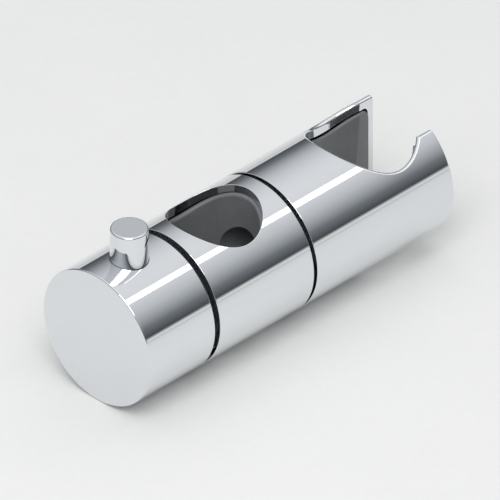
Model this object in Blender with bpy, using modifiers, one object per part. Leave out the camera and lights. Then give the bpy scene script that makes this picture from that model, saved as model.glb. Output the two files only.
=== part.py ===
"""Slider for a round upright shower rail, with a clamp knob and a swivelling handset holder.

A round barrel lies across the rail in three segments. The knob turns on a screw thread and presses a
pad on the rail. The middle segment takes the rail. The holder swivels on a screw whose head lies in a
counterbore, reached through the rail bore, and its tapered seat takes the handset's hose nut.

The origin is the middle of the rail bore, on the barrel's axis. +X runs along the barrel from the knob
to the holder, and +Z up along the rail. All lengths are metres.
"""

import math

import bmesh
import bpy
from mathutils import Matrix, Vector

MM = 0.001

# Barrel
BARREL_RADIUS = 17.0 * MM
KNOB_LENGTH = 20.8 * MM
KNOB_GAP = 1.6 * MM
BODY_LENGTH = 29.85 * MM
HOLDER_GAP = 1.1 * MM
HOLDER_LENGTH = 43.5 * MM
END_ROUNDING = 0.4 * MM

# Clearances
FIT = 0.3 * MM
SEAT = 0.1 * MM
RUNNING_CLEARANCE = 0.6 * MM
FACE_RECESS = 0.5 * MM

# Rail and rail bore
RAIL_RADIUS = 10.0 * MM
RAIL_CLEARANCE = 0.25 * MM
OPENING_MARGIN = 0.7 * MM

# Walls of the plated shells
SLEEVE_WALL = 1.8 * MM
KNOB_WALL = 1.8 * MM
KNOB_FACE_WALL = 2.0 * MM
HOLDER_WALL = 2.25 * MM
HOLDER_END_WALL = 1.6 * MM
HOLDER_CORNER_RADIUS = 1.4 * MM

# Lever pin
PIN_RADIUS = 4.45 * MM
PIN_STAND = 8.3 * MM
PIN_ROUNDING = 0.55 * MM
PIN_SPOT_FACE_DEPTH = 2.3 * MM
PIN_SPIGOT_RADIUS = 2.35 * MM

# Clamp screw, M8 with a pitch of 1.25 mm
CLAMP_PITCH = 1.25 * MM
CLAMP_TURN = math.radians(90.0)
CLAMP_THREAD_RADIUS = 3.7 * MM
CLAMP_HEAD_FLATS = 13.0 * MM
CLAMP_HEAD_LENGTH = 5.3 * MM
BULB_RADIUS = 2.4 * MM
BULB_LENGTH = 1.5 * MM
BULB_NECK_RADIUS = 1.9 * MM
PAD_LIP_LENGTH = 0.9 * MM

# Clamp pad
PAD_WIDTH = 11.0 * MM
PAD_THICKNESS = 4.35 * MM
PAD_CORNER_RADIUS = 1.5 * MM

# Moulded core
NECK_RADIUS = 9.0 * MM
SPIGOT_RADIUS = 9.0 * MM
SPIGOT_FLOOR = 2.8 * MM
COUNTERBORE_RADIUS = 6.28 * MM
POCKET_WEB = 1.6 * MM

# Threaded inserts
INSERT_BAND = 1.2 * MM
CLAMP_INSERT_RADIUS = 6.0 * MM
CLAMP_INSERT_LENGTH = 4.6 * MM
PIVOT_INSERT_RADIUS = 4.6 * MM
PIVOT_INSERT_LENGTH = 3.8 * MM
INSERT_WAIST_DEPTH = 0.7 * MM

# Pivot, M6 with a length of 12 mm
PIVOT_THREAD_RADIUS = 2.7 * MM
PIVOT_HEAD_RADIUS = 5.0 * MM
PIVOT_HEAD_LENGTH = 4.0 * MM
PIVOT_KEY_FLATS = 4.0 * MM
PIVOT_KEY_DEPTH = 2.0 * MM
WASHER_CLEARANCE = 0.38 * MM
PIVOT_WASHER_THICKNESS = 1.0 * MM
THRUST_WASHER_THICKNESS = 0.8 * MM
DISC_SPRING_THICKNESS = 0.5 * MM
DISC_SPRING_RISE = 0.3 * MM
BUSH_FLANGE = 0.8 * MM
BUSH_WALL = 1.0 * MM

# Rings
RING_SECTION_RADIUS = 0.6 * MM
FRICTION_RING_WIDTH = 1.9 * MM

# Handset seat and hose slot
SEAT_SETBACK = 12.675 * MM
SEAT_RIM = 6.03 * MM
SEAT_HALF_ANGLE = math.radians(3.8)
SEAT_LIP = 2.52 * MM
SEAT_WEB = 1.08 * MM
SHELL_REVEAL = 0.5 * MM

# Facets round a full turn, and along a fillet or a fine edge rounding
STEPS_LARGE = 72
STEPS_BORE = 56
STEPS_MEDIUM = 40
STEPS_SMALL = 32
STEPS_RING = 8
STEPS_FILLET = 3
STEPS_EDGE = 2

# Faces that meet at more than this keep a crisp edge between them
CREASE_ANGLE = math.radians(35.0)

# Places along the barrel
BODY_HALF = BODY_LENGTH / 2
KNOB_BACK = -BODY_HALF - KNOB_GAP
KNOB_FRONT = KNOB_BACK - KNOB_LENGTH
HOLDER_NEAR = BODY_HALF + HOLDER_GAP
HOLDER_FAR = HOLDER_NEAR + HOLDER_LENGTH
CORE_HALF = BODY_HALF - FACE_RECESS
SEAT_X = HOLDER_FAR - SEAT_SETBACK
PIN_X = KNOB_FRONT + KNOB_LENGTH / 2

# Sizes that follow from those above
BORE_RADIUS = RAIL_RADIUS + RAIL_CLEARANCE
CORE_RADIUS = BARREL_RADIUS - SLEEVE_WALL - FIT
HUB_RADIUS = BARREL_RADIUS - KNOB_WALL - FIT
LINER_RADIUS = BARREL_RADIUS - HOLDER_WALL - FIT
PIN_SEAT_HEIGHT = HUB_RADIUS - PIN_SPOT_FACE_DEPTH
CLAMP_TRAVEL = CLAMP_PITCH * CLAMP_TURN / (2 * math.pi)
SOCKET_RADIUS = NECK_RADIUS + RUNNING_CLEARANCE
LINER_SOCKET_RADIUS = SPIGOT_RADIUS + RUNNING_CLEARANCE
WASHER_RADIUS = COUNTERBORE_RADIUS - WASHER_CLEARANCE
FRICTION_RING_RADIUS = LINER_SOCKET_RADIUS + FRICTION_RING_WIDTH
SEAT_MID_RADIUS = BARREL_RADIUS - SEAT_RIM
SLOT_WIDTH = 2 * (SEAT_MID_RADIUS - SEAT_LIP)

# Clamp stack, from the rail bore towards the knob
PAD_BACK = -BORE_RADIUS - PAD_THICKNESS
POCKET_END = PAD_BACK - CLAMP_TRAVEL - FIT
CLAMP_INSERT_BACK = POCKET_END - POCKET_WEB
NECK_TIP = CLAMP_INSERT_BACK - CLAMP_INSERT_LENGTH
SCREW_SHOULDER = PAD_BACK - FIT
BULB_BACK = PAD_BACK + PAD_LIP_LENGTH + FIT
BULB_TIP = BULB_BACK + BULB_LENGTH
HUB_SOCKET_FLOOR = NECK_TIP - CLAMP_TRAVEL - FIT
CLAMP_HEAD_BACK = PIN_X + CLAMP_HEAD_LENGTH / 2
CLAMP_HEAD_FRONT = CLAMP_HEAD_BACK - CLAMP_HEAD_LENGTH
HUB_FRONT = KNOB_FRONT + KNOB_FACE_WALL + FIT
HUB_BACK = KNOB_BACK - FACE_RECESS

# Pivot stack, from the handset seat towards the rail bore
PIVOT_INSERT_FAR = SEAT_X - SEAT_MID_RADIUS - SEAT_WEB
PIVOT_INSERT_NEAR = PIVOT_INSERT_FAR - PIVOT_INSERT_LENGTH
PIVOT_SCREW_TIP = PIVOT_INSERT_FAR - SEAT
LINER_SOCKET_FLOOR = PIVOT_INSERT_NEAR - SEAT
SPIGOT_END = LINER_SOCKET_FLOOR - RUNNING_CLEARANCE
COUNTERBORE_FLOOR = SPIGOT_END - SPIGOT_FLOOR
FLANGE_NEAR = COUNTERBORE_FLOOR - SEAT - BUSH_FLANGE
THRUST_NEAR = FLANGE_NEAR - SEAT - THRUST_WASHER_THICKNESS
DISC_SPRING_HEIGHT = DISC_SPRING_THICKNESS + DISC_SPRING_RISE
OUTER_SPRING_NEAR = THRUST_NEAR - SEAT - DISC_SPRING_HEIGHT
INNER_SPRING_NEAR = OUTER_SPRING_NEAR - SEAT - DISC_SPRING_HEIGHT
WASHER_NEAR = INNER_SPRING_NEAR - SEAT - PIVOT_WASHER_THICKNESS
PIVOT_HEAD_FAR = WASHER_NEAR - SEAT
PIVOT_HEAD_NEAR = PIVOT_HEAD_FAR - PIVOT_HEAD_LENGTH
LINER_NEAR = HOLDER_NEAR + FACE_RECESS
LINER_FAR = HOLDER_FAR - HOLDER_END_WALL - FIT

# Longer than any piece, for cutters that pass right through
THROUGH = 4 * BARREL_RADIUS


def clear_scene():
    for old in list(bpy.data.objects):
        bpy.data.objects.remove(old, do_unlink=True)


def new_collection(name):
    collection = bpy.data.collections.new(name)
    bpy.context.scene.collection.children.link(collection)
    return collection


def finish(name, colour, roughness, metallic):
    """A plain material of one colour."""
    material = bpy.data.materials.new(name)
    material.use_nodes = True
    shader = material.node_tree.nodes["Principled BSDF"]
    shader.inputs["Base Color"].default_value = (*colour, 1.0)
    shader.inputs["Roughness"].default_value = roughness
    shader.inputs["Metallic"].default_value = metallic
    return material


def add_object(name, bm, material=None, location=(0, 0, 0), rotation=(0, 0, 0)):
    """Puts the mesh in the part's collection, or with no material in the cutters' one."""
    for face in bm.faces:
        face.smooth = True
    mesh = bpy.data.meshes.new(name)
    bm.to_mesh(mesh)
    bm.free()
    piece = bpy.data.objects.new(name, mesh)
    piece.location = location
    piece.rotation_euler = rotation
    if material:
        mesh.materials.append(material)
        PARTS.objects.link(piece)
    else:
        piece.hide_render = True
        piece.display_type = "WIRE"
        CUTTERS.objects.link(piece)
    return piece


def arc(x, radius, size, start, end, steps=STEPS_FILLET):
    """Points (radius, x) of a round of this size about (x, radius), from one angle to another.

    The angle is counted from the outward direction towards +X, in degrees.
    """
    points = []
    for step in range(steps + 1):
        angle = math.radians(start + (end - start) * step / steps)
        points.append((radius + size * math.cos(angle), x + size * math.sin(angle)))
    return points


def turned(name, profile, material=None, steps=STEPS_SMALL, closed=False, upright_at=None):
    """A body turned about the barrel's axis, or about the vertical axis at upright_at.

    The profile's points are (radius, place along the axis), and run down the outer side, from the
    highest place to the lowest. An open profile starts and ends on the axis.
    """
    bm = bmesh.new()
    points = [bm.verts.new((radius, 0, place)) for radius, place in profile]
    for start, end in zip(points, points[1:]):
        bm.edges.new((start, end))
    if closed:
        bm.edges.new((points[-1], points[0]))
    if upright_at is None:
        piece = add_object(name, bm, material, rotation=(0, math.pi / 2, 0))
    else:
        piece = add_object(name, bm, material, (upright_at, 0, 0))
    screw = piece.modifiers.new("Turn", "SCREW")
    screw.axis = "Z"
    screw.steps = steps
    screw.render_steps = steps
    screw.use_merge_vertices = True
    screw.merge_threshold = 1e-6
    screw.use_smooth_shade = True
    return piece


def cylinder_profile(radius, low, high):
    return [(0, high), (radius, high), (radius, low), (0, low)]


def ring_profile(inner, outer, low, high):
    return [(inner, high), (outer, high), (outer, low), (inner, low)]


def banded_profile(inner, outer, low, high, grow=0.0):
    """A threaded insert's section: two bands with a waist between them. grow widens it on every side."""
    band = INSERT_BAND + 2 * grow
    waist = outer - INSERT_WAIST_DEPTH + grow
    outer, low, high = outer + grow, low - grow, high + grow
    return [
        (inner, high),
        (outer, high),
        (outer, high - band),
        (waist, high - band),
        (waist, low + band),
        (outer, low + band),
        (outer, low),
        (inner, low),
    ]


def hexagon(name, flats, low, high):
    """A hexagonal prism along the barrel with a flat on top, measured across its flats."""
    bm = bmesh.new()
    corner_radius = flats / 2 / math.cos(math.pi / 6)
    bmesh.ops.create_cone(
        bm, cap_ends=True, segments=6, radius1=corner_radius, radius2=corner_radius, depth=high - low
    )
    return add_object(name, bm, None, ((low + high) / 2, 0, 0), (0, math.pi / 2, 0))


def block(name, size, centre, material=None):
    """A box of this size about its centre."""
    bm = bmesh.new()
    bmesh.ops.create_cube(bm, size=1.0)
    bmesh.ops.scale(bm, vec=Vector(size), verts=bm.verts)
    return add_object(name, bm, material, centre)


def round_edges_along_x(piece, radius):
    """Rounds the four edges of a block that run along the barrel."""
    weights = piece.data.attributes.new("bevel_weight_edge", "FLOAT", "EDGE")
    for edge in piece.data.edges:
        start, end = (piece.data.vertices[corner].co for corner in edge.vertices)
        along_x = (start - end).cross(Vector((1, 0, 0))).length < FIT
        weights.data[edge.index].value = float(along_x)
    bevel = piece.modifiers.new("Corners", "BEVEL")
    bevel.limit_method = "WEIGHT"
    bevel.width = radius
    bevel.segments = STEPS_FILLET


def upright_cylinder(name, radius, x=0.0, low=-THROUGH / 2, high=THROUGH / 2, steps=STEPS_BORE):
    bm = bmesh.new()
    bmesh.ops.create_cone(
        bm, cap_ends=True, segments=steps, radius1=radius, radius2=radius, depth=high - low
    )
    return add_object(name, bm, None, (x, 0, (low + high) / 2))


def upright_cone(name, mid_radius, half_angle, x):
    """A cone that widens upwards, with its radius stated at the barrel's axis."""
    bm = bmesh.new()
    spread = THROUGH / 2 * math.tan(half_angle)
    bmesh.ops.create_cone(
        bm,
        cap_ends=True,
        segments=STEPS_BORE,
        radius1=mid_radius - spread,
        radius2=mid_radius + spread,
        depth=THROUGH,
    )
    return add_object(name, bm, None, (x, 0, 0))


def combine(piece, other, operation="DIFFERENCE"):
    modifier = piece.modifiers.new(other.name, "BOOLEAN")
    modifier.operation = operation
    modifier.solver = "EXACT"
    modifier.object = other


def keep_edges_crisp(piece):
    """Parts the smooth shading at each edge, which is otherwise blurred over it."""
    split = piece.modifiers.new("Crisp edges", "EDGE_SPLIT")
    split.split_angle = CREASE_ANGLE


def carry(pivot, pieces):
    """Hangs the pieces on an empty that stands on their joint's axis, where they are."""
    for piece in pieces:
        piece.parent = pivot
        piece.matrix_parent_inverse = Matrix.Translation(pivot.location).inverted()


def pivot_empty(name, x):
    pivot = bpy.data.objects.new(name, None)
    pivot.location = (x, 0, 0)
    pivot.empty_display_size = BARREL_RADIUS / 2
    PARTS.objects.link(pivot)
    return pivot


def make_knob_shell(plate):
    inner = BARREL_RADIUS - KNOB_WALL
    inner_face = KNOB_FRONT + KNOB_FACE_WALL
    profile = [(0, inner_face), (inner, inner_face), (inner, KNOB_BACK), (BARREL_RADIUS, KNOB_BACK)]
    rounding_centre = BARREL_RADIUS - END_ROUNDING
    profile += arc(KNOB_FRONT + END_ROUNDING, rounding_centre, END_ROUNDING, 0, -90, steps=STEPS_EDGE)
    profile += [(0, KNOB_FRONT)]
    shell = turned("knob_shell", profile, plate, steps=STEPS_LARGE)
    combine(shell, upright_cylinder("pin_hole", PIN_RADIUS + SEAT, PIN_X, low=0, steps=STEPS_MEDIUM))
    return shell


def make_knob_hub(plastic):
    """Moulded insert: a socket for the neck at the back, a hex pocket for the screw's head in front."""
    ledge = CLAMP_HEAD_BACK + FIT
    hole = CLAMP_THREAD_RADIUS + FIT
    profile = [
        (hole, HUB_SOCKET_FLOOR),
        (SOCKET_RADIUS, HUB_SOCKET_FLOOR),
        (SOCKET_RADIUS, HUB_BACK),
        (HUB_RADIUS, HUB_BACK),
        (HUB_RADIUS, HUB_FRONT),
        (hole, HUB_FRONT),
    ]
    hub = turned("knob_hub", profile, plastic, steps=STEPS_LARGE, closed=True)
    combine(hub, hexagon("head_pocket", CLAMP_HEAD_FLATS + 2 * FIT, HUB_FRONT - FIT, ledge))
    spot_face = PIN_SEAT_HEIGHT - SEAT
    combine(hub, upright_cylinder("pin_spot_face", PIN_RADIUS + FIT, PIN_X, spot_face, steps=STEPS_MEDIUM))
    combine(hub, upright_cylinder("pin_thread", PIN_SPIGOT_RADIUS + FIT, PIN_X, low=0, steps=STEPS_SMALL))
    return hub


def make_lever_pin(plate):
    """Turned pin that stands on the hub's spot face. Its spigot reaches the flat of the screw's head."""
    top = BARREL_RADIUS + PIN_STAND
    foot = CLAMP_HEAD_FLATS / 2 + FIT
    profile = [(0, top)] + arc(top - PIN_ROUNDING, PIN_RADIUS - PIN_ROUNDING, PIN_ROUNDING, 90, 0)
    profile += [(PIN_RADIUS, PIN_SEAT_HEIGHT), (PIN_SPIGOT_RADIUS, PIN_SEAT_HEIGHT)]
    profile += [(PIN_SPIGOT_RADIUS, foot), (0, foot)]
    return turned("lever_pin", profile, plate, steps=STEPS_MEDIUM, upright_at=PIN_X)


def make_clamp_screw(steel):
    """Hex head screw. The bulb at its tip turns in the pad's socket and draws the pad back."""
    inside_head = CLAMP_HEAD_BACK - CLAMP_HEAD_LENGTH / 2
    profile = [
        (0, BULB_TIP),
        (BULB_RADIUS, BULB_TIP),
        (BULB_RADIUS, BULB_BACK),
        (BULB_NECK_RADIUS, BULB_BACK),
        (BULB_NECK_RADIUS, SCREW_SHOULDER),
        (CLAMP_THREAD_RADIUS, SCREW_SHOULDER),
        (CLAMP_THREAD_RADIUS, inside_head),
        (0, inside_head),
    ]
    screw = turned("clamp_screw", profile, steel)
    head = hexagon("clamp_head", CLAMP_HEAD_FLATS, CLAMP_HEAD_FRONT, CLAMP_HEAD_BACK)
    combine(screw, head, "UNION")
    return screw


def make_neck_ring(rubber):
    place = (NECK_TIP - CORE_HALF) / 2
    return make_o_ring("neck_ring", NECK_RADIUS, place, rubber)


def make_o_ring(name, shaft_radius, x, rubber):
    """Stands half in the shaft's groove and half in the running clearance round the shaft."""
    centre = shaft_radius + RUNNING_CLEARANCE - FIT - RING_SECTION_RADIUS
    profile = arc(x, centre, RING_SECTION_RADIUS, 360, 0, steps=STEPS_RING)[:-1]
    return turned(name, profile, rubber, closed=True)


def groove_cutter(name, shaft_radius, x):
    depth = 2 * RING_SECTION_RADIUS + 2 * FIT - RUNNING_CLEARANCE
    half_width = RING_SECTION_RADIUS + FIT
    profile = ring_profile(shaft_radius - depth, shaft_radius + FIT, x - half_width, x + half_width)
    return turned(name, profile, closed=True)


def make_clamp_pad(plastic):
    """Square pad with a hollow face of the rail bore's radius and a snap socket for the screw's bulb."""
    front = 0.0
    pad = block(
        "clamp_pad",
        (front - PAD_BACK, PAD_WIDTH, PAD_WIDTH),
        ((front + PAD_BACK) / 2, 0, 0),
        plastic,
    )
    round_edges_along_x(pad, PAD_CORNER_RADIUS)
    combine(pad, upright_cylinder("pad_face", BORE_RADIUS))
    socket = [
        (0, BULB_TIP + FIT),
        (BULB_RADIUS + FIT, BULB_TIP + FIT),
        (BULB_RADIUS + FIT, BULB_BACK - FIT),
        (BULB_NECK_RADIUS + FIT, BULB_BACK - FIT),
        (BULB_NECK_RADIUS + FIT, PAD_BACK - FIT),
        (0, PAD_BACK - FIT),
    ]
    combine(pad, turned("pad_socket", socket))
    return pad


def make_clamp_insert(brass):
    bore = CLAMP_THREAD_RADIUS + FIT
    profile = banded_profile(bore, CLAMP_INSERT_RADIUS, NECK_TIP, CLAMP_INSERT_BACK)
    return turned("clamp_insert", profile, brass, closed=True)


def make_body_sleeve(plate):
    profile = ring_profile(BARREL_RADIUS - SLEEVE_WALL, BARREL_RADIUS, -BODY_HALF, BODY_HALF)
    sleeve = turned("body_sleeve", profile, plate, steps=STEPS_LARGE, closed=True)
    combine(sleeve, upright_cylinder("sleeve_opening", BORE_RADIUS + OPENING_MARGIN))
    return sleeve


def make_body_core(plastic):
    """Moulded core: a neck towards the knob, the rail bore, and a spigot that the holder swivels on."""
    profile = [
        (0, SPIGOT_END),
        (SPIGOT_RADIUS, SPIGOT_END),
        (SPIGOT_RADIUS, CORE_HALF),
        (CORE_RADIUS, CORE_HALF),
        (CORE_RADIUS, -CORE_HALF),
        (NECK_RADIUS, -CORE_HALF),
        (NECK_RADIUS, NECK_TIP),
        (0, NECK_TIP),
    ]
    core = turned("body_core", profile, plastic, steps=STEPS_LARGE)
    combine(core, upright_cylinder("rail_bore", BORE_RADIUS))

    pocket = block(
        "pad_pocket",
        (-POCKET_END, PAD_WIDTH + 2 * FIT, PAD_WIDTH + 2 * FIT),
        (POCKET_END / 2, 0, 0),
    )
    round_edges_along_x(pocket, PAD_CORNER_RADIUS)
    combine(core, pocket)

    screw_hole = CLAMP_THREAD_RADIUS + FIT
    combine(core, turned("screw_hole", cylinder_profile(screw_hole, NECK_TIP - FIT, 0)))
    cavity = banded_profile(0, CLAMP_INSERT_RADIUS, NECK_TIP, CLAMP_INSERT_BACK, FIT)
    combine(core, turned("clamp_insert_cavity", cavity))
    combine(core, groove_cutter("neck_groove", NECK_RADIUS, (NECK_TIP - CORE_HALF) / 2))

    combine(core, turned("counterbore", cylinder_profile(COUNTERBORE_RADIUS, 0, COUNTERBORE_FLOOR)))
    bush_hole = PIVOT_THREAD_RADIUS + FIT + BUSH_WALL + FIT
    combine(core, turned("bush_hole", cylinder_profile(bush_hole, 0, SPIGOT_END + FIT)))
    combine(core, groove_cutter("spigot_groove", SPIGOT_RADIUS, (CORE_HALF + SPIGOT_END) / 2))
    return core


def make_pivot_bush(plastic):
    inner = PIVOT_THREAD_RADIUS + FIT
    outer = inner + BUSH_WALL
    flange_far = FLANGE_NEAR + BUSH_FLANGE
    profile = [
        (inner, SPIGOT_END),
        (outer, SPIGOT_END),
        (outer, flange_far),
        (WASHER_RADIUS, flange_far),
        (WASHER_RADIUS, FLANGE_NEAR),
        (inner, FLANGE_NEAR),
    ]
    return turned("pivot_bush", profile, plastic, closed=True)


def make_washer(name, near, thickness, steel):
    profile = ring_profile(PIVOT_THREAD_RADIUS + FIT, WASHER_RADIUS, near, near + thickness)
    return turned(name, profile, steel, closed=True)


def make_disc_spring(name, near, opens_to_holder, steel):
    """A shallow steel cone. The pair stand rim to rim, so that they press the washers apart."""
    inner, outer = PIVOT_THREAD_RADIUS + FIT, WASHER_RADIUS
    inner_low, outer_low = near, near + DISC_SPRING_RISE
    if not opens_to_holder:
        inner_low, outer_low = outer_low, inner_low
    profile = [
        (inner, inner_low + DISC_SPRING_THICKNESS),
        (outer, outer_low + DISC_SPRING_THICKNESS),
        (outer, outer_low),
        (inner, inner_low),
    ]
    return turned(name, profile, steel, closed=True)


def make_pivot_screw(steel):
    """Low head socket screw, put in through the rail bore, that holds the holder to the body."""
    profile = [
        (0, PIVOT_SCREW_TIP),
        (PIVOT_THREAD_RADIUS, PIVOT_SCREW_TIP),
        (PIVOT_THREAD_RADIUS, PIVOT_HEAD_FAR),
        (PIVOT_HEAD_RADIUS, PIVOT_HEAD_FAR),
        (PIVOT_HEAD_RADIUS, PIVOT_HEAD_NEAR),
        (0, PIVOT_HEAD_NEAR),
    ]
    screw = turned("pivot_screw", profile, steel)
    key_floor = PIVOT_HEAD_NEAR + PIVOT_KEY_DEPTH
    combine(screw, hexagon("pivot_key", PIVOT_KEY_FLATS, PIVOT_HEAD_NEAR - FIT, key_floor))
    return screw


def make_friction_ring(plastic):
    profile = ring_profile(
        LINER_SOCKET_RADIUS, FRICTION_RING_RADIUS, CORE_HALF + SEAT, LINER_NEAR - SEAT
    )
    return turned("friction_ring", profile, plastic, closed=True)


def make_pivot_insert(brass):
    bore = PIVOT_THREAD_RADIUS + FIT
    profile = banded_profile(bore, PIVOT_INSERT_RADIUS, PIVOT_INSERT_NEAR, PIVOT_INSERT_FAR)
    return turned("pivot_insert", profile, brass, closed=True)


def cut_seat_and_slot(piece, label, reveal):
    """Cuts the tapered seat and the slot that runs from it out through the far end."""
    combine(piece, upright_cone(label + "_seat", SEAT_MID_RADIUS + reveal, SEAT_HALF_ANGLE, SEAT_X))
    slot = block(
        label + "_slot",
        (SEAT_SETBACK + BARREL_RADIUS, SLOT_WIDTH + 2 * reveal, THROUGH),
        (SEAT_X + (SEAT_SETBACK + BARREL_RADIUS) / 2, 0, 0),
    )
    combine(piece, slot)


def make_holder_shell(plate):
    inner = BARREL_RADIUS - HOLDER_WALL
    inner_end = HOLDER_FAR - HOLDER_END_WALL
    profile = [(0, HOLDER_FAR)]
    rounding_centre = BARREL_RADIUS - END_ROUNDING
    profile += arc(HOLDER_FAR - END_ROUNDING, rounding_centre, END_ROUNDING, 90, 0, steps=STEPS_EDGE)
    profile += [(BARREL_RADIUS, HOLDER_NEAR), (inner, HOLDER_NEAR)]
    corner = HOLDER_CORNER_RADIUS
    profile += arc(inner_end - corner, inner - corner, corner, 0, 90)
    profile += [(0, inner_end)]
    shell = turned("holder_shell", profile, plate, steps=STEPS_LARGE)
    cut_seat_and_slot(shell, "shell", SHELL_REVEAL)
    return shell


def make_holder_liner(plastic):
    """Moulded liner that fills the shell and takes the spigot, the threaded insert and the hose nut."""
    corner = HOLDER_CORNER_RADIUS
    profile = [(0, LINER_FAR)]
    profile += arc(LINER_FAR - corner, LINER_RADIUS - corner, corner, 90, 0)
    profile += [
        (LINER_RADIUS, LINER_NEAR),
        (LINER_SOCKET_RADIUS, LINER_NEAR),
        (LINER_SOCKET_RADIUS, LINER_SOCKET_FLOOR),
        (0, LINER_SOCKET_FLOOR),
    ]
    liner = turned("holder_liner", profile, plastic, steps=STEPS_LARGE)
    cavity = banded_profile(0, PIVOT_INSERT_RADIUS, PIVOT_INSERT_NEAR, PIVOT_INSERT_FAR, FIT)
    combine(liner, turned("pivot_insert_cavity", cavity))
    cut_seat_and_slot(liner, "liner", 0.0)
    return liner


def build():
    plate = finish("polished chrome plate", (0.80, 0.81, 0.82), 0.08, 1.0)
    core_plastic = finish("moulded grey acetal", (0.20, 0.21, 0.22), 0.45, 0.0)
    pad_plastic = finish("moulded white acetal", (0.75, 0.75, 0.72), 0.5, 0.0)
    brass = finish("turned brass", (0.72, 0.53, 0.22), 0.3, 1.0)
    steel = finish("stainless steel", (0.55, 0.55, 0.55), 0.3, 1.0)
    rubber = finish("black rubber", (0.02, 0.02, 0.02), 0.7, 0.0)

    pad_guide = pivot_empty("pad_guide", PAD_BACK)
    knob_pivot = pivot_empty("knob_pivot", PIN_X)
    holder_pivot = pivot_empty("holder_pivot", SPIGOT_END)
    carry(pad_guide, [make_clamp_pad(pad_plastic), knob_pivot])
    carry(
        knob_pivot,
        [
            make_knob_shell(plate),
            make_knob_hub(core_plastic),
            make_lever_pin(plate),
            make_clamp_screw(steel),
        ],
    )
    make_neck_ring(rubber)
    make_body_sleeve(plate)
    make_body_core(core_plastic)
    make_clamp_insert(brass)
    make_pivot_bush(pad_plastic)
    make_washer("thrust_washer", THRUST_NEAR, THRUST_WASHER_THICKNESS, steel)
    make_disc_spring("disc_spring_inner", INNER_SPRING_NEAR, True, steel)
    make_disc_spring("disc_spring_outer", OUTER_SPRING_NEAR, False, steel)
    carry(
        holder_pivot,
        [
            make_holder_shell(plate),
            make_holder_liner(core_plastic),
            make_pivot_insert(brass),
            make_pivot_screw(steel),
            make_washer("pivot_washer", WASHER_NEAR, PIVOT_WASHER_THICKNESS, steel),
        ],
    )
    make_friction_ring(pad_plastic)
    make_o_ring("pivot_ring", SPIGOT_RADIUS, (CORE_HALF + SPIGOT_END) / 2, rubber)
    for piece in PARTS.objects:
        if piece.type == "MESH":
            keep_edges_crisp(piece)


clear_scene()
PARTS = new_collection("shower_rail_slider")
CUTTERS = new_collection("cutters")
build()
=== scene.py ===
"""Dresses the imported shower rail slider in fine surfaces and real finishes.

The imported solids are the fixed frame. Each piece is built again here as smooth surfaces, each a function
of two parameters on a grid, at the place that the frame gives. The barrel lies along X, the rail bore and
the handset seat stand along Z, and all but the threads is the same on both sides of the plane Y = 0.
Lengths are metres, and angles about the barrel are counted from the top towards +Y.
"""

import logging
import math
from collections.abc import Sequence
from dataclasses import dataclass, replace
from enum import Enum

import bmesh
import bpy
import numpy as np
from mathutils import Matrix, Vector


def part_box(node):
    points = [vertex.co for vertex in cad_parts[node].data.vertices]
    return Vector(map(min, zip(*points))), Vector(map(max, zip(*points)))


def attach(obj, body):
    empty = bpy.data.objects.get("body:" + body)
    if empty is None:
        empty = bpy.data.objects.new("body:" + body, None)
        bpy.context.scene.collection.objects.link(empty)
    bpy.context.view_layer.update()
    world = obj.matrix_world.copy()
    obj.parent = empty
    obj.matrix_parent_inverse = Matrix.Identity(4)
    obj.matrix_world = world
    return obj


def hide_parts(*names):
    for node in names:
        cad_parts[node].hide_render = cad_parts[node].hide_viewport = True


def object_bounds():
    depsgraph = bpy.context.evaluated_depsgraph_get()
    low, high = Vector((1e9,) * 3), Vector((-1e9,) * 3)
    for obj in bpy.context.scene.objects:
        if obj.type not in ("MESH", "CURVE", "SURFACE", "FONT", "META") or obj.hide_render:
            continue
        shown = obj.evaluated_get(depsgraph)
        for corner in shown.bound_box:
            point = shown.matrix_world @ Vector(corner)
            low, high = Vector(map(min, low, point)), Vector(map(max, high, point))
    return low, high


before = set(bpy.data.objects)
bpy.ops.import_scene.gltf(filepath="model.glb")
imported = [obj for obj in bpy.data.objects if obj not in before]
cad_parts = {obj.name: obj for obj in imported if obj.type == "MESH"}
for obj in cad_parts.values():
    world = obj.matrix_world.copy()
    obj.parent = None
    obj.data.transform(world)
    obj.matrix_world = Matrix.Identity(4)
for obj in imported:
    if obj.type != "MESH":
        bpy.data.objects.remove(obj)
CAD_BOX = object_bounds()

LOG = logging.getLogger("shower_rail_slider")
MM = 0.001

# Steps of the grids: round half the barrel, round a full turn of a small piece, across a rounded edge,
# and rows along an opening's round rim and along its slot
HALF_TURN_STEPS = 120
TURN_STEPS = 144
ROUND_STEPS = 8
RIM_ROWS = 73
SLOT_ROWS = 7
# Rounds in which a height or an angle that is solved for settles to well under the weld distance
SETTLE_STEPS = 12
WELD_DISTANCE = 0.001 * MM
# Share of a skin's row, at each end, that takes up the shift of the opening's edge there
EDGE_ZONE = 0.42
HALF_TURN = np.linspace(0, np.pi, HALF_TURN_STEPS + 1)

# Roundings: of a corner left by a sharp tool, of a broken edge, of an eased one and of a lead-in
FINE_ROUND = 0.1 * MM
BROKEN_ROUND = 0.2 * MM
EASED_ROUND = 0.3 * MM
LEAD_ROUND = 0.4 * MM

# Threaded inserts: length of a knurled band, depth of the waist between the two bands, gap between insert
# and cavity, how much wider than its screw's the thread is, and number and depth of the knurl's grooves
INSERT_BAND = 1.2 * MM
INSERT_WAIST_DEPTH = 0.7 * MM
INSERT_GAP = 0.3 * MM
THREAD_GAP = 0.08 * MM
KNURL_GROOVES = 36
KNURL_DEPTH = 0.25 * MM

# The values that a finish's drifting noise mostly keeps between, and those of its colour's mix of drifting
# tone and painted shade in the grain's hollows
DRIFT_RANGE = (0.3, 0.7)
DRIFT_AND_HOLLOW_SHADE_RANGE = (0.36, 0.64)
# Layers of ever finer noise in the drift and in the grain
DRIFT_DETAIL = 3.0
GRAIN_DETAIL = 2.0

Array = np.ndarray
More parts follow.
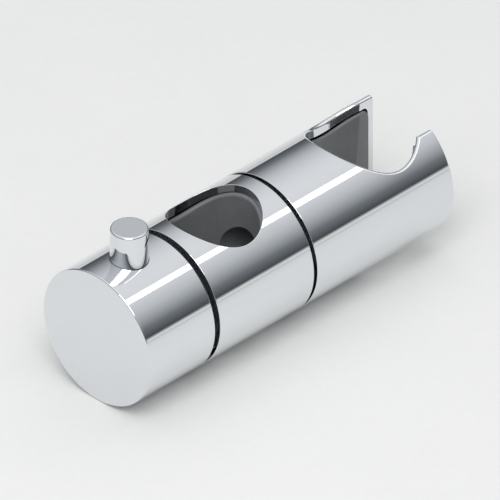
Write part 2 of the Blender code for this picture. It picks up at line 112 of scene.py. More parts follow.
# Numbers of the axes that the shapes are mirrored across
ACROSS, UPWARDS = 1, 2
UP = np.array([0.0, 0.0, 1.0])
ALONG = np.array([1.0, 0.0, 0.0])
ASIDE = np.array([0.0, 1.0, 0.0])


class Mouth(Enum):
    """Which end of an upright opening is meant, as the sign of its height."""

    TOP = 1.0
    BOTTOM = -1.0


@dataclass(frozen=True)
class Patch:
    """A grid of surface points and the outward normal at each.

    Attributes:
        points: Array of rows, columns and three coordinates.
        normals: Unit vectors in an array of the same shape.
    """

    points: Array
    normals: Array

    def mirrored(self, axis: int) -> "Patch":
        """The patch on the other side of a plane through the origin.

        Args:
            axis: Number of the axis that the plane lies across.

        Returns:
            The mirror image.
        """
        sign = np.ones(3)
        sign[axis] = -1.0
        return Patch(self.points * sign, self.normals * sign)


@dataclass(frozen=True)
class Reach:
    """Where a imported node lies.

    Attributes:
        near: Place of its near end along the barrel.
        far: Place of its far end.
        radius: How far it stands out from its axis.
    """

    near: float
    far: float
    radius: float

    @classmethod
    def of(cls, node: str) -> "Reach":
        """The reach of the node of this name."""
        low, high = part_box(node)
        return cls(low.x, high.x, high.y)


def unit(vectors: Array) -> Array:
    """The vectors at a length of one."""
    return vectors / np.linalg.norm(vectors, axis=-1, keepdims=True)


def blend(start: Array, end: Array, share: Array) -> Array:
    """What lies this share of the way from start to end."""
    return start + (end - start) * share


def swing(start: Array, end: Array, share: Array) -> Array:
    """Unit vectors this share of the way from one direction to another, at an even rate of turn.

    Args:
        start: Unit vectors that the turn starts from.
        end: Unit vectors that it ends at.
        share: How far each has turned, from 0 to 1.

    Returns:
        sin((1 - share) angle) start + sin(share angle) end, over sin(angle).
    """
    angle = np.arccos(np.clip(np.sum(start * end, axis=-1, keepdims=True), -1.0, 1.0))
    start_weight, end_weight = np.sin((1 - share) * angle), np.sin(share * angle)
    return (start_weight * start + end_weight * end) / np.sin(angle)


def around(place: Array, radius: Array, angle: Array) -> Array:
    """Points (place, radius sin angle, radius cos angle) about the barrel's axis."""
    place, radius, angle = np.broadcast_arrays(place, radius, angle)
    return np.stack([place, radius * np.sin(angle), radius * np.cos(angle)], axis=-1)


def ruled(start: Array, end: Array, start_normal: Array, end_normal: Array | None = None) -> Patch:
    """Straight lines from each point of one chain to the same point of another.

    Args:
        start: Chain of points.
        end: Chain of as many points, or one point.
        start_normal: Outward normal of the surface, or one for each line.
        end_normal: The normals at the far ends of the lines, where they differ.

    Returns:
        The surface start + share (end - start), for a share of 0 and 1.
    """
    far = start_normal if end_normal is None else end_normal
    points = np.stack(np.broadcast_arrays(start, end), axis=1)
    normals = np.stack([np.broadcast_to(normal, start.shape) for normal in (start_normal, far)], axis=1)
    return Patch(points, normals)


def outline(corners: Sequence[tuple[float, ...]], closed: bool = False) -> tuple[Array, Array]:
    """Samples a section with rounded corners, which runs with the outside on its left.

    The round at a corner where the normal turns from m to n is a circle of radius r about the corner less
    r (m + n) / (1 + m n) where the section is convex, and plus that where it is hollow.

    Args:
        corners: Place along the axis, radius, and the rounding, which may be left out if it is sharp.
        closed: Whether the last corner joins the first. An open section keeps its ends.

    Returns:
        Points (place, radius), and the unit normals there.
    """
    knots = np.array([corner[:2] for corner in corners], float)
    run = unit(np.roll(knots, -1, axis=0) - knots)
    left = np.stack([-run[:, 1], run[:, 0]], axis=1)
    points, normals = [], []
    for index, corner in enumerate(corners):
        before, after = left[index - 1], left[index]
        if not closed and index == 0:
            before = after
        if not closed and index == len(corners) - 1:
            after = before
        rounding = corner[2] if len(corner) > 2 else 0.0
        bend = math.atan2(before[0] * after[1] - before[1] * after[0], float(before @ after))
        turn = bend * np.linspace(0, 1, ROUND_STEPS + 1 if rounding else 2)
        normal = np.stack(
            [
                before[0] * np.cos(turn) - before[1] * np.sin(turn),
                before[0] * np.sin(turn) + before[1] * np.cos(turn),
            ],
            axis=1,
        )
        size = rounding if bend < 0 else -rounding
        centre = knots[index] - size * (before + after) / (1 + before @ after)
        points.append(centre + size * normal)
        normals.append(normal)
    if closed:
        points.append(points[0][:1])
        normals.append(normals[0][:1])
    return np.concatenate(points), np.concatenate(normals)


def turned(
    corners: Sequence[tuple[float, ...]],
    angles: Array | None = None,
    closed: bool = False,
    upright_at: float | None = None,
) -> Patch:
    """Carries a section round the barrel's axis, or round an upright axis.

    Args:
        corners: The section, as outline takes it.
        angles: Angles that it stops at. Left out, it makes a full turn.
        closed: Whether the section closes on itself.
        upright_at: Place along the barrel of an upright axis, where the piece stands on one.

    Returns:
        The surface (place, radius sin angle, radius cos angle) over section and angle.
    """
    if angles is None:
        angles = np.linspace(0, 2 * np.pi, TURN_STEPS + 1)
    section, leaning = outline(corners, closed)
    points = around(section[:, :1], section[:, 1:], angles)
    normals = around(leaning[:, :1], leaning[:, 1:], angles)
    if upright_at is not None:
        points = points[..., ::-1] + (upright_at, 0.0, 0.0)
        normals = normals[..., ::-1]
    return Patch(points, normals)


def ring_section(
    near: float, far: float, inner: float, outer: float, rounding: float, far_rounding: float | None = None
) -> list[tuple[float, ...]]:
    """The corners of a plain ring's closed section.

    Args:
        near: Place of its near face.
        far: Place of its far face.
        inner: Radius of its hole.
        outer: Radius of its outside.
        rounding: Rounding of its edges.
        far_rounding: Rounding of those at the far face, where it differs.

    Returns:
        Corners for a closed outline.
    """
    last = rounding if far_rounding is None else far_rounding
    outside = [(near, outer, rounding), (far, outer, last)]
    return [*outside, (far, inner, last), (near, inner, rounding)]


def banded(reach: Reach, gap: float = 0.0, rounding: float = 0.0) -> list[tuple[float, ...]]:
    """The outside of a threaded insert, from its far end to its near one: two bands and a waist.

    Args:
        reach: Where the insert lies.
        gap: How far the outline is grown all round, as for the cavity that holds the insert.
        rounding: Rounding of its edges.

    Returns:
        Corners for an outline with the insert on its left, as its cavity has it.
    """
    near, far, outer = reach.near - gap, reach.far + gap, reach.radius + gap
    band, waist = INSERT_BAND + 2 * gap, outer - INSERT_WAIST_DEPTH
    places = (far, far - band, far - band, near + band, near + band, near)
    radii = (outer, outer, waist, waist, outer, outer)
    return [(place, radius, rounding) for place, radius in zip(places, radii)]


def knurled(patch: Patch, radius: float) -> Patch:
    """Presses even grooves along the barrel into all that stands out to a radius.

    A point there moves in by the depth times the squared sine of half the grooves' count times its angle.

    Args:
        patch: A turned surface.
        radius: Radius of the bands to knurl.

    Returns:
        The surface with its grooves.
    """
    across, up = patch.points[..., 1], patch.points[..., 2]
    reach, angle = np.hypot(across, up), np.arctan2(across, up)
    pressed = (reach > radius - KNURL_DEPTH) & (reach > 0)
    depth = np.where(pressed, KNURL_DEPTH, 0.0)
    safe = np.where(reach > 0, reach, 1.0)
    scale = 1 - depth * np.sin(KNURL_GROOVES * angle / 2) ** 2 / safe
    points = patch.points * np.stack([np.ones_like(scale), scale, scale], axis=-1)
    outward = np.sum(patch.normals * around(0.0, 1.0, angle), axis=-1)
    lean = outward * depth * KNURL_GROOVES / 2 * np.sin(KNURL_GROOVES * angle) / safe
    sideways = around(0.0, 1.0, angle + np.pi / 2)
    return Patch(points, unit(patch.normals + lean[..., None] * sideways))


@dataclass(frozen=True)
class Thread:
    """A right-handed thread of the common sixty degree form, for a screw and the insert that takes it.

    Attributes:
        mean: The screw's mean radius.
        depth: Distance from its roots to its crests.
        pitch: Distance from crest to crest.
    """

    mean: float
    depth: float
    pitch: float

    def root(self) -> float:
        """The screw's radius at its roots."""
        return self.mean - self.depth / 2

    def surface(self, near: float, far: float, hole: bool = False) -> Patch:
        """The thread on a length of the screw or in a hole that takes it.

        Its section is carried round the barrel's axis while it moves back by the pitch times the share of a
        turn, so that a screw and its insert share one spiral, and is cut off at both ends. Within a pitch
        of each end it runs out: a screw's to the mean radius under its head and to its roots at its tip,
        and a hole's to its roots at both ends.

        Args:
            near: Where it starts.
            far: Where it ends.
            hole: Whether this is the hole, which is wider by the thread's gap.

        Returns:
            The surface over section and angle.
        """
        mean = self.mean + THREAD_GAP if hole else self.mean
        # Corners as shares of the pitch and of the depth: a flat crest, and a root that is twice as wide
        knots = ((0.0, 0.5), (0.125, 0.5), (0.4375, -0.5), (0.6875, -0.5))
        crests = range(math.floor(near / self.pitch) - 1, math.ceil(far / self.pitch) + 2)
        corners = [
            ((crest + share) * self.pitch, mean + rise * self.depth)
            for crest in crests
            for share, rise in knots
        ]
        section, leaning = outline(corners)
        angles = np.linspace(0, 2 * np.pi, TURN_STEPS + 1)
        place = np.clip(section[:, :1] - self.pitch * angles / (2 * np.pi), near, far)
        grown = np.clip(np.minimum(place - near, far - place) / self.pitch, 0, 1)
        screw_end = np.where(place < (near + far) / 2, mean, mean - self.depth / 2)
        radius = blend(mean + self.depth / 2 if hole else screw_end, section[:, 1:], grown)
        facing = -1.0 if hole else 1.0
        return Patch(around(place, radius, angles), facing * around(leaning[:, :1], leaning[:, 1:], angles))

    def insert(self, node: str) -> list[Patch]:
        """A turned brass insert with knurled bands and this thread inside.

        Args:
            node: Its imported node.

        Returns:
            Its surfaces.
        """
        reach, mouth = Reach.of(node), self.mean + THREAD_GAP + self.depth / 2
        section = [(reach.near, mouth), *banded(reach, rounding=FINE_ROUND)[::-1], (reach.far, mouth)]
        return [knurled(turned(section), reach.radius), self.surface(reach.near, reach.far, hole=True)]


# The coarse threads of 8 mm and of 6 mm
CLAMP_THREAD = Thread(3.7 * MM, 0.5 * MM, 1.25 * MM)
PIVOT_THREAD = Thread(2.7 * MM, 0.45 * MM, 1.0 * MM)


def hexagon(flats: float, steps: int = TURN_STEPS // 6) -> tuple[Array, Array, Array]:
    """A hexagon about the barrel's axis, with a flat on top.

    Args:
        flats: Width across its flats.
        steps: Steps along each flat.

    Returns:
        Angles, distances from the axis of flats / (2 cos(angle from the flat's middle)), and normals.
        Each corner comes twice, once for each side.
    """
    middle = np.repeat(np.arange(6) * np.pi / 3, steps + 1)
    away = np.tile(np.linspace(-np.pi / 6, np.pi / 6, steps + 1), 6)
    return middle + away, flats / 2 / np.cos(away), around(0.0, 1.0, middle)


@dataclass(frozen=True)
class Rim:
    """The rounded edge where an upright opening meets a skin, on the +Y side.

    Attributes:
        face: Rows follow the edge from its near point, and columns cross from the skin to the wall.
        round_rows: How many rows follow the round part, before those of the slot.
        radius: The skin's radius at each row.
        tilt: How far the skin's normal leans along the barrel at each row.
    """

    face: Patch
    round_rows: int
    radius: Array
    tilt: Array

    def wall_edge(self, slot: bool = False) -> Array:
        """Where the edge runs out into the opening's wall, along the round part or along the slot."""
        rows = slice(self.round_rows, None) if slot else slice(0, self.round_rows)
        return self.face.points[rows, -1]


@dataclass(frozen=True)
class Skin:
    """One side of a turned wall: the outside, or with facing at -1 the inside.

    Attributes:
        radius: Radius between the ends.
        near: Place of the near end.
        far: Place of the far end.
        near_round: Rounding at the near end.
        far_round: Rounding at the far end.
        facing: 1 where the normal points away from the barrel's axis, and -1 where it points to it.
    """

    radius: float
    near: float
    far: float
    near_round: float = 0.0
    far_round: float = 0.0
    facing: float = 1.0

    def near_end(self) -> Array:
        """The round at the near end, from the end's face to the skin.

        Returns:
            Rows of places, of radii and of tilts. A sharp end has one of each.
        """
        tilt = np.linspace(-np.pi / 2, 0, ROUND_STEPS + 1) if self.near_round else np.zeros(1)
        place = self.near + self.near_round * (1 + np.sin(tilt))
        return np.stack([place, self.radius - self.near_round * (1 - np.cos(tilt)), tilt])

    def far_end(self) -> Array:
        """The round at the far end, from the skin to the end's face.

        Returns:
            Rows of places, of radii and of tilts. A sharp end has one of each.
        """
        tilt = np.linspace(0, np.pi / 2, ROUND_STEPS + 1) if self.far_round else np.zeros(1)
        place = self.far - self.far_round * (1 - np.sin(tilt))
        return np.stack([place, self.radius - self.far_round * (1 - np.cos(tilt)), tilt])

    def cover(self, top: Rim | None = None, bottom: Rim | None = None, level: float = np.pi) -> Patch:
        """The skin between its upper edge and its lower one.

        Near either edge a row keeps that edge's place while its angle is shifted by what the edge's is,
        less and less away from it. Between these zones all rows share their angles and pass from one
        place to the other, so no two rows cross. The point is (place, radius sin angle, radius cos angle).

        Args:
            top: Rim of an opening at the top, if there is one.
            bottom: Rim of an opening at the bottom, of as many rows.
            level: Angle of the lower edge where no opening cuts it.

        Returns:
            Rows from the near end to the far one, and columns from the upper edge to the lower.
        """
        near, far = self.near_end(), self.far_end()
        slotted = top is not None and len(top.face.points) > top.round_rows
        if top is None:
            places, radius, tilt = np.concatenate([near, far], axis=1)
            upper = lower = (places, np.zeros_like(places))
        else:
            after = far[:, :0] if slotted else far
            radius = np.concatenate([near[1], top.radius, after[1]])
            tilt = np.concatenate([near[2], top.tilt, after[2]])
            upper = self._edge(top, near[0], after[0], 0.0)
            lower = self._edge(bottom, near[0], after[0], level) if bottom else (upper[0], None)
        low_angle = lower[1] if bottom else np.full_like(upper[1], level)
        share = np.linspace(0, 1, round(HALF_TURN_STEPS * level / np.pi) + 1)
        zone = EDGE_ZONE if bottom else 1.0
        upper_hold, lower_hold = np.clip(1 - share / zone, 0, 1), np.clip(1 - (1 - share) / zone, 0, 1)
        cross = np.clip((share - zone) / (1 - 2 * zone), 0, 1)
        place = blend(upper[0][:, None], lower[0][:, None], cross**2 * (3 - 2 * cross))
        shifts = upper[1][:, None] * upper_hold, (low_angle - level)[:, None] * lower_hold
        angle = level * share + shifts[0] + shifts[1]
        normals = around(np.sin(tilt)[:, None], np.cos(tilt)[:, None], angle)
        return Patch(around(place, radius[:, None], angle), normals * self.facing)

    @staticmethod
    def _edge(rim: Rim, before: Array, after: Array, level: float) -> tuple[Array, Array]:
        """One edge of the skin: a rim, and the rows before and after it.

        Args:
            rim: The rim of the opening that cuts the skin there.
            before: Places of the rows at the near end.
            after: Places of the rows at the far end.
            level: Angle of those rows.

        Returns:
            Places and angles of all the rows.
        """
        edge = rim.face.points[:, 0]
        angle = np.arctan2(np.abs(edge[:, 1]), edge[:, 2])
        ends = [np.full(len(places), level) for places in (before, after)]
        return np.concatenate([before, edge[:, 0], after]), np.concatenate([ends[0], angle, ends[1]])


@dataclass(frozen=True)
class Opening:
    """An upright round opening through a turned wall, straight or tapered, with or without a slot.

    Attributes:
        centre: Place of its axis along the barrel.
        mid_radius: Its radius at the height of the barrel's axis.
        half_angle: Half angle of its taper. It widens upwards.
        slot: Half width of the slot that leads from it to the far end, or 0 for none.
    """

    centre: float
    mid_radius: float
    half_angle: float = 0.0
    slot: float = 0.0

    def radius_at(self, height: Array) -> Array:
        """The opening's radius at this height."""
        return self.mid_radius + height * math.tan(self.half_angle)

    def inward(self, turn: Array) -> Array:
        """Normal of the round wall, into the opening.

        Args:
            turn: Angles about the opening's axis, from +X.

        Returns:
            Unit vectors (-cos h cos turn, -cos h sin turn, sin h) for the half angle h.
        """
        level = -math.cos(self.half_angle)
        rise = np.full_like(turn, math.sin(self.half_angle))
        return np.stack([level * np.cos(turn), level * np.sin(turn), rise], axis=-1)

    def _ball_on_wall(self, turn: Array, share: Array, skin: Skin, mouth: Mouth, size: float) -> Patch:
        """The edge that a ball of this size leaves as it rolls inside skin and round wall at once.

        Its centre lies on the skin drawn in by the size and on the wall drawn back by it. The surface is
        the centre plus the size times a normal that swings from the skin's to the wall's.

        Args:
            turn: Angles about the opening's axis, from +X.
            share: How far across the edge, from 0 at the skin to 1 at the wall.
            skin: The skin.
            mouth: At the top or at the bottom.
            size: The ball's radius.

        Returns:
            The edge over turn and share.
        """
        reach = skin.radius - size
        height = np.full_like(turn, mouth.value * reach)
        for _ in range(SETTLE_STEPS):
            middle = self.radius_at(height) + size / math.cos(self.half_angle)
            height = mouth.value * np.sqrt(reach**2 - (middle * np.sin(turn)) ** 2)
        centre = np.stack([middle * np.cos(turn), middle * np.sin(turn), height], axis=-1)
        outward = centre * (0.0, 1.0, 1.0) / reach
        normals = swing(outward, self.inward(turn), share[..., None])
        return Patch(centre + ALONG * self.centre + size * normals, normals)

    def _ball_on_slot(self, radius: Array, share: Array, mouth: Mouth, size: float) -> Patch:
        """The edge that the ball leaves as it rolls inside skin and flat slot wall at once.

        Args:
            radius: The skin's radius at each row.
            share: How far across the edge, from 0 at the skin to 1 at the wall.
            mouth: At the top or at the bottom.
            size: The ball's radius.

        Returns:
            The edge's section at each row, all at place 0 along the barrel.
        """
        reach = radius - size
        out = np.full_like(reach, self.slot + size)
        centre = np.stack([0 * reach, out, mouth.value * np.sqrt(reach**2 - out**2)], axis=-1)
        normals = swing(centre / reach[..., None], -ASIDE, share[..., None])
        return Patch(centre + size * normals, normals)

    def _mitre(self, share: Array, skin: Skin, mouth: Mouth, size: float) -> Array:
        """Where the round edge meets the slot's.

        Args:
            share: How far across the edge each line along it lies.
            skin: The skin.
            mouth: At the top or at the bottom.
            size: Rounding of the edge.

        Returns:
            Angles about the opening's axis at which each line meets its own line along the slot.
        """
        aside = self._ball_on_slot(np.full_like(share, skin.radius), share, mouth, size).points[..., 1]
        turn = np.full_like(share, np.pi / 4)
        for _ in range(SETTLE_STEPS):
            point = self._ball_on_wall(turn, share, skin, mouth, size).points
            reach = np.hypot(point[..., 0] - self.centre, point[..., 1])
            turn = turn + (aside - point[..., 1]) / (reach * np.cos(turn))
        return turn

    def rim(self, skin: Skin, mouth: Mouth, size: float = 0.0, rows: int = RIM_ROWS) -> Rim:
        """The opening's rounded edge in a skin.

        Args:
            skin: The skin that it cuts.
            mouth: At the top or at the bottom.
            size: Rounding of the edge, or 0 for a sharp one.
            rows: Rows along the round part.

        Returns:
            The rim, with the slot's rows after the round part's, on through the skin's far round.
        """
        share = np.linspace(0, 1, ROUND_STEPS + 1)[None, :]
        end = self._mitre(share, skin, mouth, size) if self.slot else np.zeros_like(share)
        turn = blend(np.pi, end, np.linspace(0, 1, rows)[:, None])
        curve = self._ball_on_wall(turn, share, skin, mouth, size)
        if not self.slot:
            return Rim(curve, rows, np.full(rows, skin.radius), np.zeros(rows))

        place, radius, tilt = skin.far_end()
        fade = np.concatenate([np.linspace(1, 0, SLOT_ROWS), np.zeros(len(place) - 1)])[:, None]
        place, radius, tilt = (
            np.concatenate([np.full(SLOT_ROWS - 1, values[0]), values])[:, None]
            for values in (place, radius, tilt)
        )
        straight = self._ball_on_slot(radius, share, mouth, size)
        corner = curve.points[-1:]
        points = straight.points.copy()
        points[..., 0] = blend(place, corner[..., 0], fade)
        points[..., 2] += fade * (corner[..., 2] - straight.points[:1, :, 2])
        lean = (tilt * (1 - share))[..., None]
        normals = unit(straight.normals * np.cos(lean) + ALONG * np.sin(lean))
        face = Patch(np.concatenate([curve.points, points]), np.concatenate([curve.normals, normals]))
        tilts = np.concatenate([np.zeros(rows), tilt[:, 0]])
        return Rim(face, rows, np.concatenate([np.full(rows, skin.radius), radius[:, 0]]), tilts)

    def wall(self, start: Array, end: Array, steps: int = 1) -> Patch:
        """The round wall between two of its edges.

        Height and angle are blended from one edge to the other, and the last column is drawn onto the
        slot's flat wall. The point is (centre + r cos angle, r sin angle, height) for the radius r there.

        Args:
            start: One edge, from the near point on.
            end: The other edge, of as many points.
            steps: Steps from one edge to the other.

        Returns:
            The wall, with rows along its edges.
        """
        share = np.linspace(0, 1, steps + 1)[None, :]
        height = blend(start[:, 2:], end[:, 2:], share)
        turns = [
            np.arctan2(np.abs(edge[:, 1:2]), edge[:, :1] - self.centre) for edge in (start, end)
        ]
        turn = blend(turns[0], turns[1], share)
        if self.slot:
            crease = np.arcsin(self.slot / self.radius_at(height[-1:]))
            turn = turn + np.linspace(0, 1, len(start))[:, None] * (crease - turn[-1:])
        radius = self.radius_at(height)
        points = np.stack([self.centre + radius * np.cos(turn), radius * np.sin(turn), height], axis=-1)
        return Patch(points, self.inward(turn))


def rounded_square(half: float, corner: float, steps: int) -> tuple[Array, Array]:
    """A quarter of a square with round corners across the barrel, from its top to its +Y side.

    Args:
        half: Half its width.
        corner: Radius of its corners.
        steps: Steps along the quarter. A third of them go to each of the two straight parts.

    Returns:
        Points (0, y, z) and outward normals.
    """
    flat, straight = half - corner, steps // 3
    run = np.linspace(0, flat, straight + 1)[:-1]
    turn = np.linspace(0, np.pi / 2, steps - 2 * straight + 1)
    aside = np.concatenate([run, flat + corner * np.sin(turn), np.full(straight, half)])
    lean = np.concatenate([0 * run, turn, np.full(straight, np.pi / 2)])
    return np.stack([0 * aside, aside, aside[::-1]], axis=1), around(0.0, 1.0, lean)


def end_chain(skin: Patch, top: Rim, bottom: Rim) -> Array:
    """The edge of a slotted wall's far face, from the slot's wall at the top round to that below."""
    return np.concatenate([top.face.points[-1, ::-1], skin.points[-1], bottom.face.points[-1]])


def straight_chain(chain: Array) -> Array:
    """The straight line between a chain's ends, with its points spaced as the chain's own are.

    Args:
        chain: The points.

    Returns:
        As many points.
    """
    run = np.linalg.norm(np.diff(chain, axis=0), axis=1).cumsum()
    share = np.concatenate([[0.0], run / run[-1]])
    return blend(chain[0], chain[-1], share[:, None])


def mirrored(patches: Sequence[Patch], *axes: int) -> list[Patch]:
    """Completes a shape from its half or quarter.

    Args:
        patches: Its surfaces.
        axes: Numbers of the axes to mirror it across, in turn.

    Returns:
        The patches, and all their mirror images.
    """
    found = list(patches)
    for axis in axes:
        found += [patch.mirrored(axis) for patch in found]
    return found


def build_mesh(name: str, patches: Sequence[Patch]) -> bpy.types.Mesh:
    """Joins patches into one closed mesh that is shaded by their own normals.

    Each four neighbours on a grid are a face, turned over where it faces against its normals. Points that
    coincide are welded, and a face that has no area left is dropped.

    Args:
        name: Name of the mesh.
        patches: The surfaces, whose edges share their points.

    Returns:
        The mesh.
    """
    quads, start = [], 0
    for patch in patches:
        rows, columns = patch.points.shape[:2]
        index = start + np.arange(rows * columns).reshape(rows, columns)
        corners = (index[:-1, :-1], index[1:, :-1], index[1:, 1:], index[:-1, 1:])
        quads.append(np.stack(corners, axis=-1).reshape(-1, 4))
        start += rows * columns
    faces = np.concatenate(quads)
    points = np.concatenate([patch.points.reshape(-1, 3) for patch in patches])
    normals = np.concatenate([patch.normals.reshape(-1, 3) for patch in patches])
    corner = points[faces]
    facing = np.cross(corner[:, 2] - corner[:, 0], corner[:, 3] - corner[:, 1])
    wrong = np.einsum("ij,ij->i", facing, normals[faces].sum(axis=1)) < 0
    faces[wrong] = faces[wrong, ::-1]

    mesh = bpy.data.meshes.new(name)
    mesh.from_pydata(points.tolist(), [], faces.tolist())
    shading = mesh.attributes.new("shading", "FLOAT_VECTOR", "CORNER")
    shading.data.foreach_set("vector", normals[faces].astype(np.float32).ravel())
    work = bmesh.new()
    work.from_mesh(mesh)
    bmesh.ops.remove_doubles(work, verts=work.verts, dist=WELD_DISTANCE)
    work.to_mesh(mesh)
    work.free()
    kept = np.zeros(len(mesh.loops) * 3, np.float32)
    mesh.attributes["shading"].data.foreach_get("vector", kept)
    mesh.attributes.remove(mesh.attributes["shading"])
    mesh.shade_smooth()
    mesh.normals_split_custom_set(unit(kept.reshape(-1, 3)).tolist())
    return mesh


def linear(colour: str) -> tuple[float, float, float, float]:
    """Turns an sRGB hex colour to linear.

    A part c becomes c / 12.92 up to 0.04045, and ((c + 0.055) / 1.055) to the power of 2.4 above it.

    Args:
        colour: The colour, such as #C0FFEE.

    Returns:
        The values that a shader takes.
    """
    parts = [int(colour[start : start + 2], 16) / 255 for start in (1, 3, 5)]
    red, green, blue = (
        part / 12.92 if part <= 0.04045 else ((part + 0.055) / 1.055) ** 2.4 for part in parts
    )
    return red, green, blue, 1.0


def add_node(
    tree: bpy.types.NodeTree, kind: str, inputs: dict[str | int, object] | None = None, **settings: object
) -> bpy.types.Node:
    """Adds a node to a tree.

    Args:
        tree: The tree.
        kind: The node's type, without its leading ShaderNode.
        inputs: What each input takes, by name or number: a value, or the socket that feeds it.
        settings: The node's own settings.

    Returns:
        The node.
    """
    node = tree.nodes.new("ShaderNode" + kind)
    for key, value in settings.items():
        setattr(node, key, value)
    for key, value in (inputs or {}).items():
        if isinstance(value, bpy.types.NodeSocket):
            tree.links.new(value, node.inputs[key])
        else:
            node.inputs[key].default_value = value
    return node


def per_length(length: float) -> float:
    """Scale at which a pattern's features have about this length, in metres."""
    return 1.0 / length


@dataclass(frozen=True)
class Finish:
    """What a piece is made of and how its surface was made. Patterns take their sizes in metres.

    Attributes:
        name: Name of the material.
        colour: Its sRGB colour.
        roughness: Least and greatest roughness over the surface.
        cloud: Size of the patches over which roughness and colour drift.
        grain: Size of the surface's grain.
        relief: Height of the grain.
        slot: The record's slot for it, which is not used here. The floor has none.
        metallic: 1 for bare metal.
        shade: How much darker the darkest spots of the colour are, from 0 to 1. The colour drifts in tone,
            and the grain's hollows get painted shade.
        turned: Whether the grain runs in rings round the barrel's axis, as a lathe tool leaves it.
    """

    name: str
    colour: str
    roughness: tuple[float, float]
    cloud: float
    grain: float
    relief: float
    slot: str = ""
    metallic: float = 0.0
    shade: float = 0.0
    turned: bool = False

    def material(self) -> bpy.types.Material:
        """Makes the material, or finds it again by its name.

        Returns:
            The material.
        """
        found = bpy.data.materials.get(self.name)
        if found:
            return found
        made = bpy.data.materials.new(self.name)
        made.use_nodes = True
        tree = made.node_tree
        shader = tree.nodes["Principled BSDF"]
        shader.inputs["Metallic"].default_value = self.metallic
        place = add_node(tree, "TexCoord").outputs["Object"]
        clouds = {"Vector": place, "Scale": per_length(self.cloud), "Detail": DRIFT_DETAIL}
        drift = add_node(tree, "TexNoise", clouds).outputs["Fac"]
        grains = {"Vector": self._lay(tree, place), "Scale": per_length(self.grain), "Detail": GRAIN_DETAIL}
        grain = add_node(tree, "TexNoise", grains).outputs["Fac"]

        spread = add_node(tree, "MapRange", dict(enumerate((drift, *DRIFT_RANGE, *self.roughness))))
        tree.links.new(spread.outputs[0], shader.inputs["Roughness"])
        # The colour's darker spots are half a drift of tone and half painted shade in the grain's hollows,
        # where the bump sinks
        self._paint(tree, shader, add_node(tree, "Mix", {0: 0.5, 2: drift, 3: grain}).outputs[0])
        bump = add_node(tree, "Bump", {"Height": grain, "Strength": 1.0, "Distance": self.relief})
        tree.links.new(bump.outputs["Normal"], shader.inputs["Normal"])
        return made

    def _paint(self, tree: bpy.types.NodeTree, shader: bpy.types.Node, drift_and_hollow_shade: bpy.types.NodeSocket) -> None:
        """Sets the colour, with a darker one where its tone drifts and as painted shade in the grain's
        hollows, where the finish has such a shade.

        Args:
            tree: The material's nodes.
            shader: The shader that takes the colour.
            drift_and_hollow_shade: What is low where the colour is dark.
        """
        colour = linear(self.colour)
        if not self.shade:
            shader.inputs["Base Color"].default_value = colour
            return
        dark = (*(part * (1 - self.shade) for part in colour[:3]), 1.0)
        ramp = add_node(tree, "ValToRGB", {"Fac": drift_and_hollow_shade})
        for stop, position, shown in zip(ramp.color_ramp.elements, DRIFT_AND_HOLLOW_SHADE_RANGE, (dark, colour)):
            stop.position, stop.color = position, shown
        tree.links.new(ramp.outputs["Color"], shader.inputs["Base Color"])

    def _lay(self, tree: bpy.types.NodeTree, place: bpy.types.NodeSocket) -> bpy.types.NodeSocket:
        """Lays out the grain.

        Args:
            tree: The material's nodes.
            place: The place on the surface.

        Returns:
            The place itself, or place along the barrel and radius alone on a turned piece.
        """
        if not self.turned:
            return place
        parts = add_node(tree, "SeparateXYZ", {"Vector": place}).outputs
        across = add_node(tree, "CombineXYZ", {"Y": parts["Y"], "Z": parts["Z"]}).outputs[0]
        radius = add_node(tree, "VectorMath", {0: across}, operation="LENGTH").outputs["Value"]
        return add_node(tree, "CombineXYZ", {"X": parts["X"], "Y": radius}).outputs[0]


# Polished brass, then nickel and chrome plate: a clear mirror, with the faint drift that buffing leaves
# and a slow ripple of a few thousandths of a millimetre that bends what it reflects ever so slightly
PLATED_SHELL = Finish(
    "polished chrome plate", "#E4E6E9", roughness=(0.035, 0.075), cloud=7 * MM, grain=6 * MM,
    relief=0.0025 * MM, slot="plated_shell", metallic=1.0,
)
# The same plate on a turned pin, which is too small for a long ripple
PLATED_PIN = Finish(
    "polished chrome plate on turned brass", "#E4E6E9", roughness=(0.04, 0.08), cloud=4 * MM, grain=3 * MM,
    relief=0.0015 * MM, slot="plated_pin", metallic=1.0,
)
# Grey acetal from a spark-eroded mould: satin, with a fine even grain and a drift in its tone, and painted
# shade in the grain's hollows. The grain of about 0.05 mm is drawn at 0.5 mm so that it shows
MOULDED_CORE = Finish(
    "moulded grey acetal", "#7C7E80", roughness=(0.4, 0.52), cloud=5 * MM, grain=0.5 * MM,
    relief=0.02 * MM, slot="moulded_core", shade=0.14,
)
MOULDED_LINER = replace(
    MOULDED_CORE, name="moulded grey acetal liner", slot="moulded_liner", roughness=(0.38, 0.5), cloud=6 * MM
)
MOULDED_HUB = replace(
    MOULDED_CORE, name="moulded grey acetal hub", slot="moulded_hub", roughness=(0.42, 0.55)
)
# Natural acetal is milky white and waxy, with a soft sheen
PAD_PLASTIC = Finish(
    "moulded natural acetal", "#E1E1DC", roughness=(0.35, 0.48), cloud=3 * MM, grain=0.2 * MM,
    relief=0.005 * MM, slot="pad_plastic", shade=0.05,
)
SLIP_PLASTIC = Finish(
    "moulded natural acetal bearing", "#DFDFDA", roughness=(0.3, 0.42), cloud=3 * MM, grain=0.15 * MM,
    relief=0.003 * MM, slot="slip_plastic", shade=0.05,
)
# Cold formed stainless steel: a grey satin metal with faint flow marks and the rings of the thread roll
STAINLESS_SCREW = Finish(
    "cold formed stainless steel", "#C4C4C3", roughness=(0.22, 0.36), cloud=2 * MM, grain=0.12 * MM,
    relief=0.002 * MM, slot="stainless_screw", metallic=1.0, shade=0.12, turned=True,
)
# Stamped and tumbled stainless steel: softly scuffed, with no direction
STAINLESS_WASHER = Finish(
    "tumbled stainless steel", "#C8C8C6", roughness=(0.28, 0.42), cloud=1.5 * MM, grain=0.2 * MM,
    relief=0.003 * MM, slot="stainless_washer", metallic=1.0, shade=0.1,
)
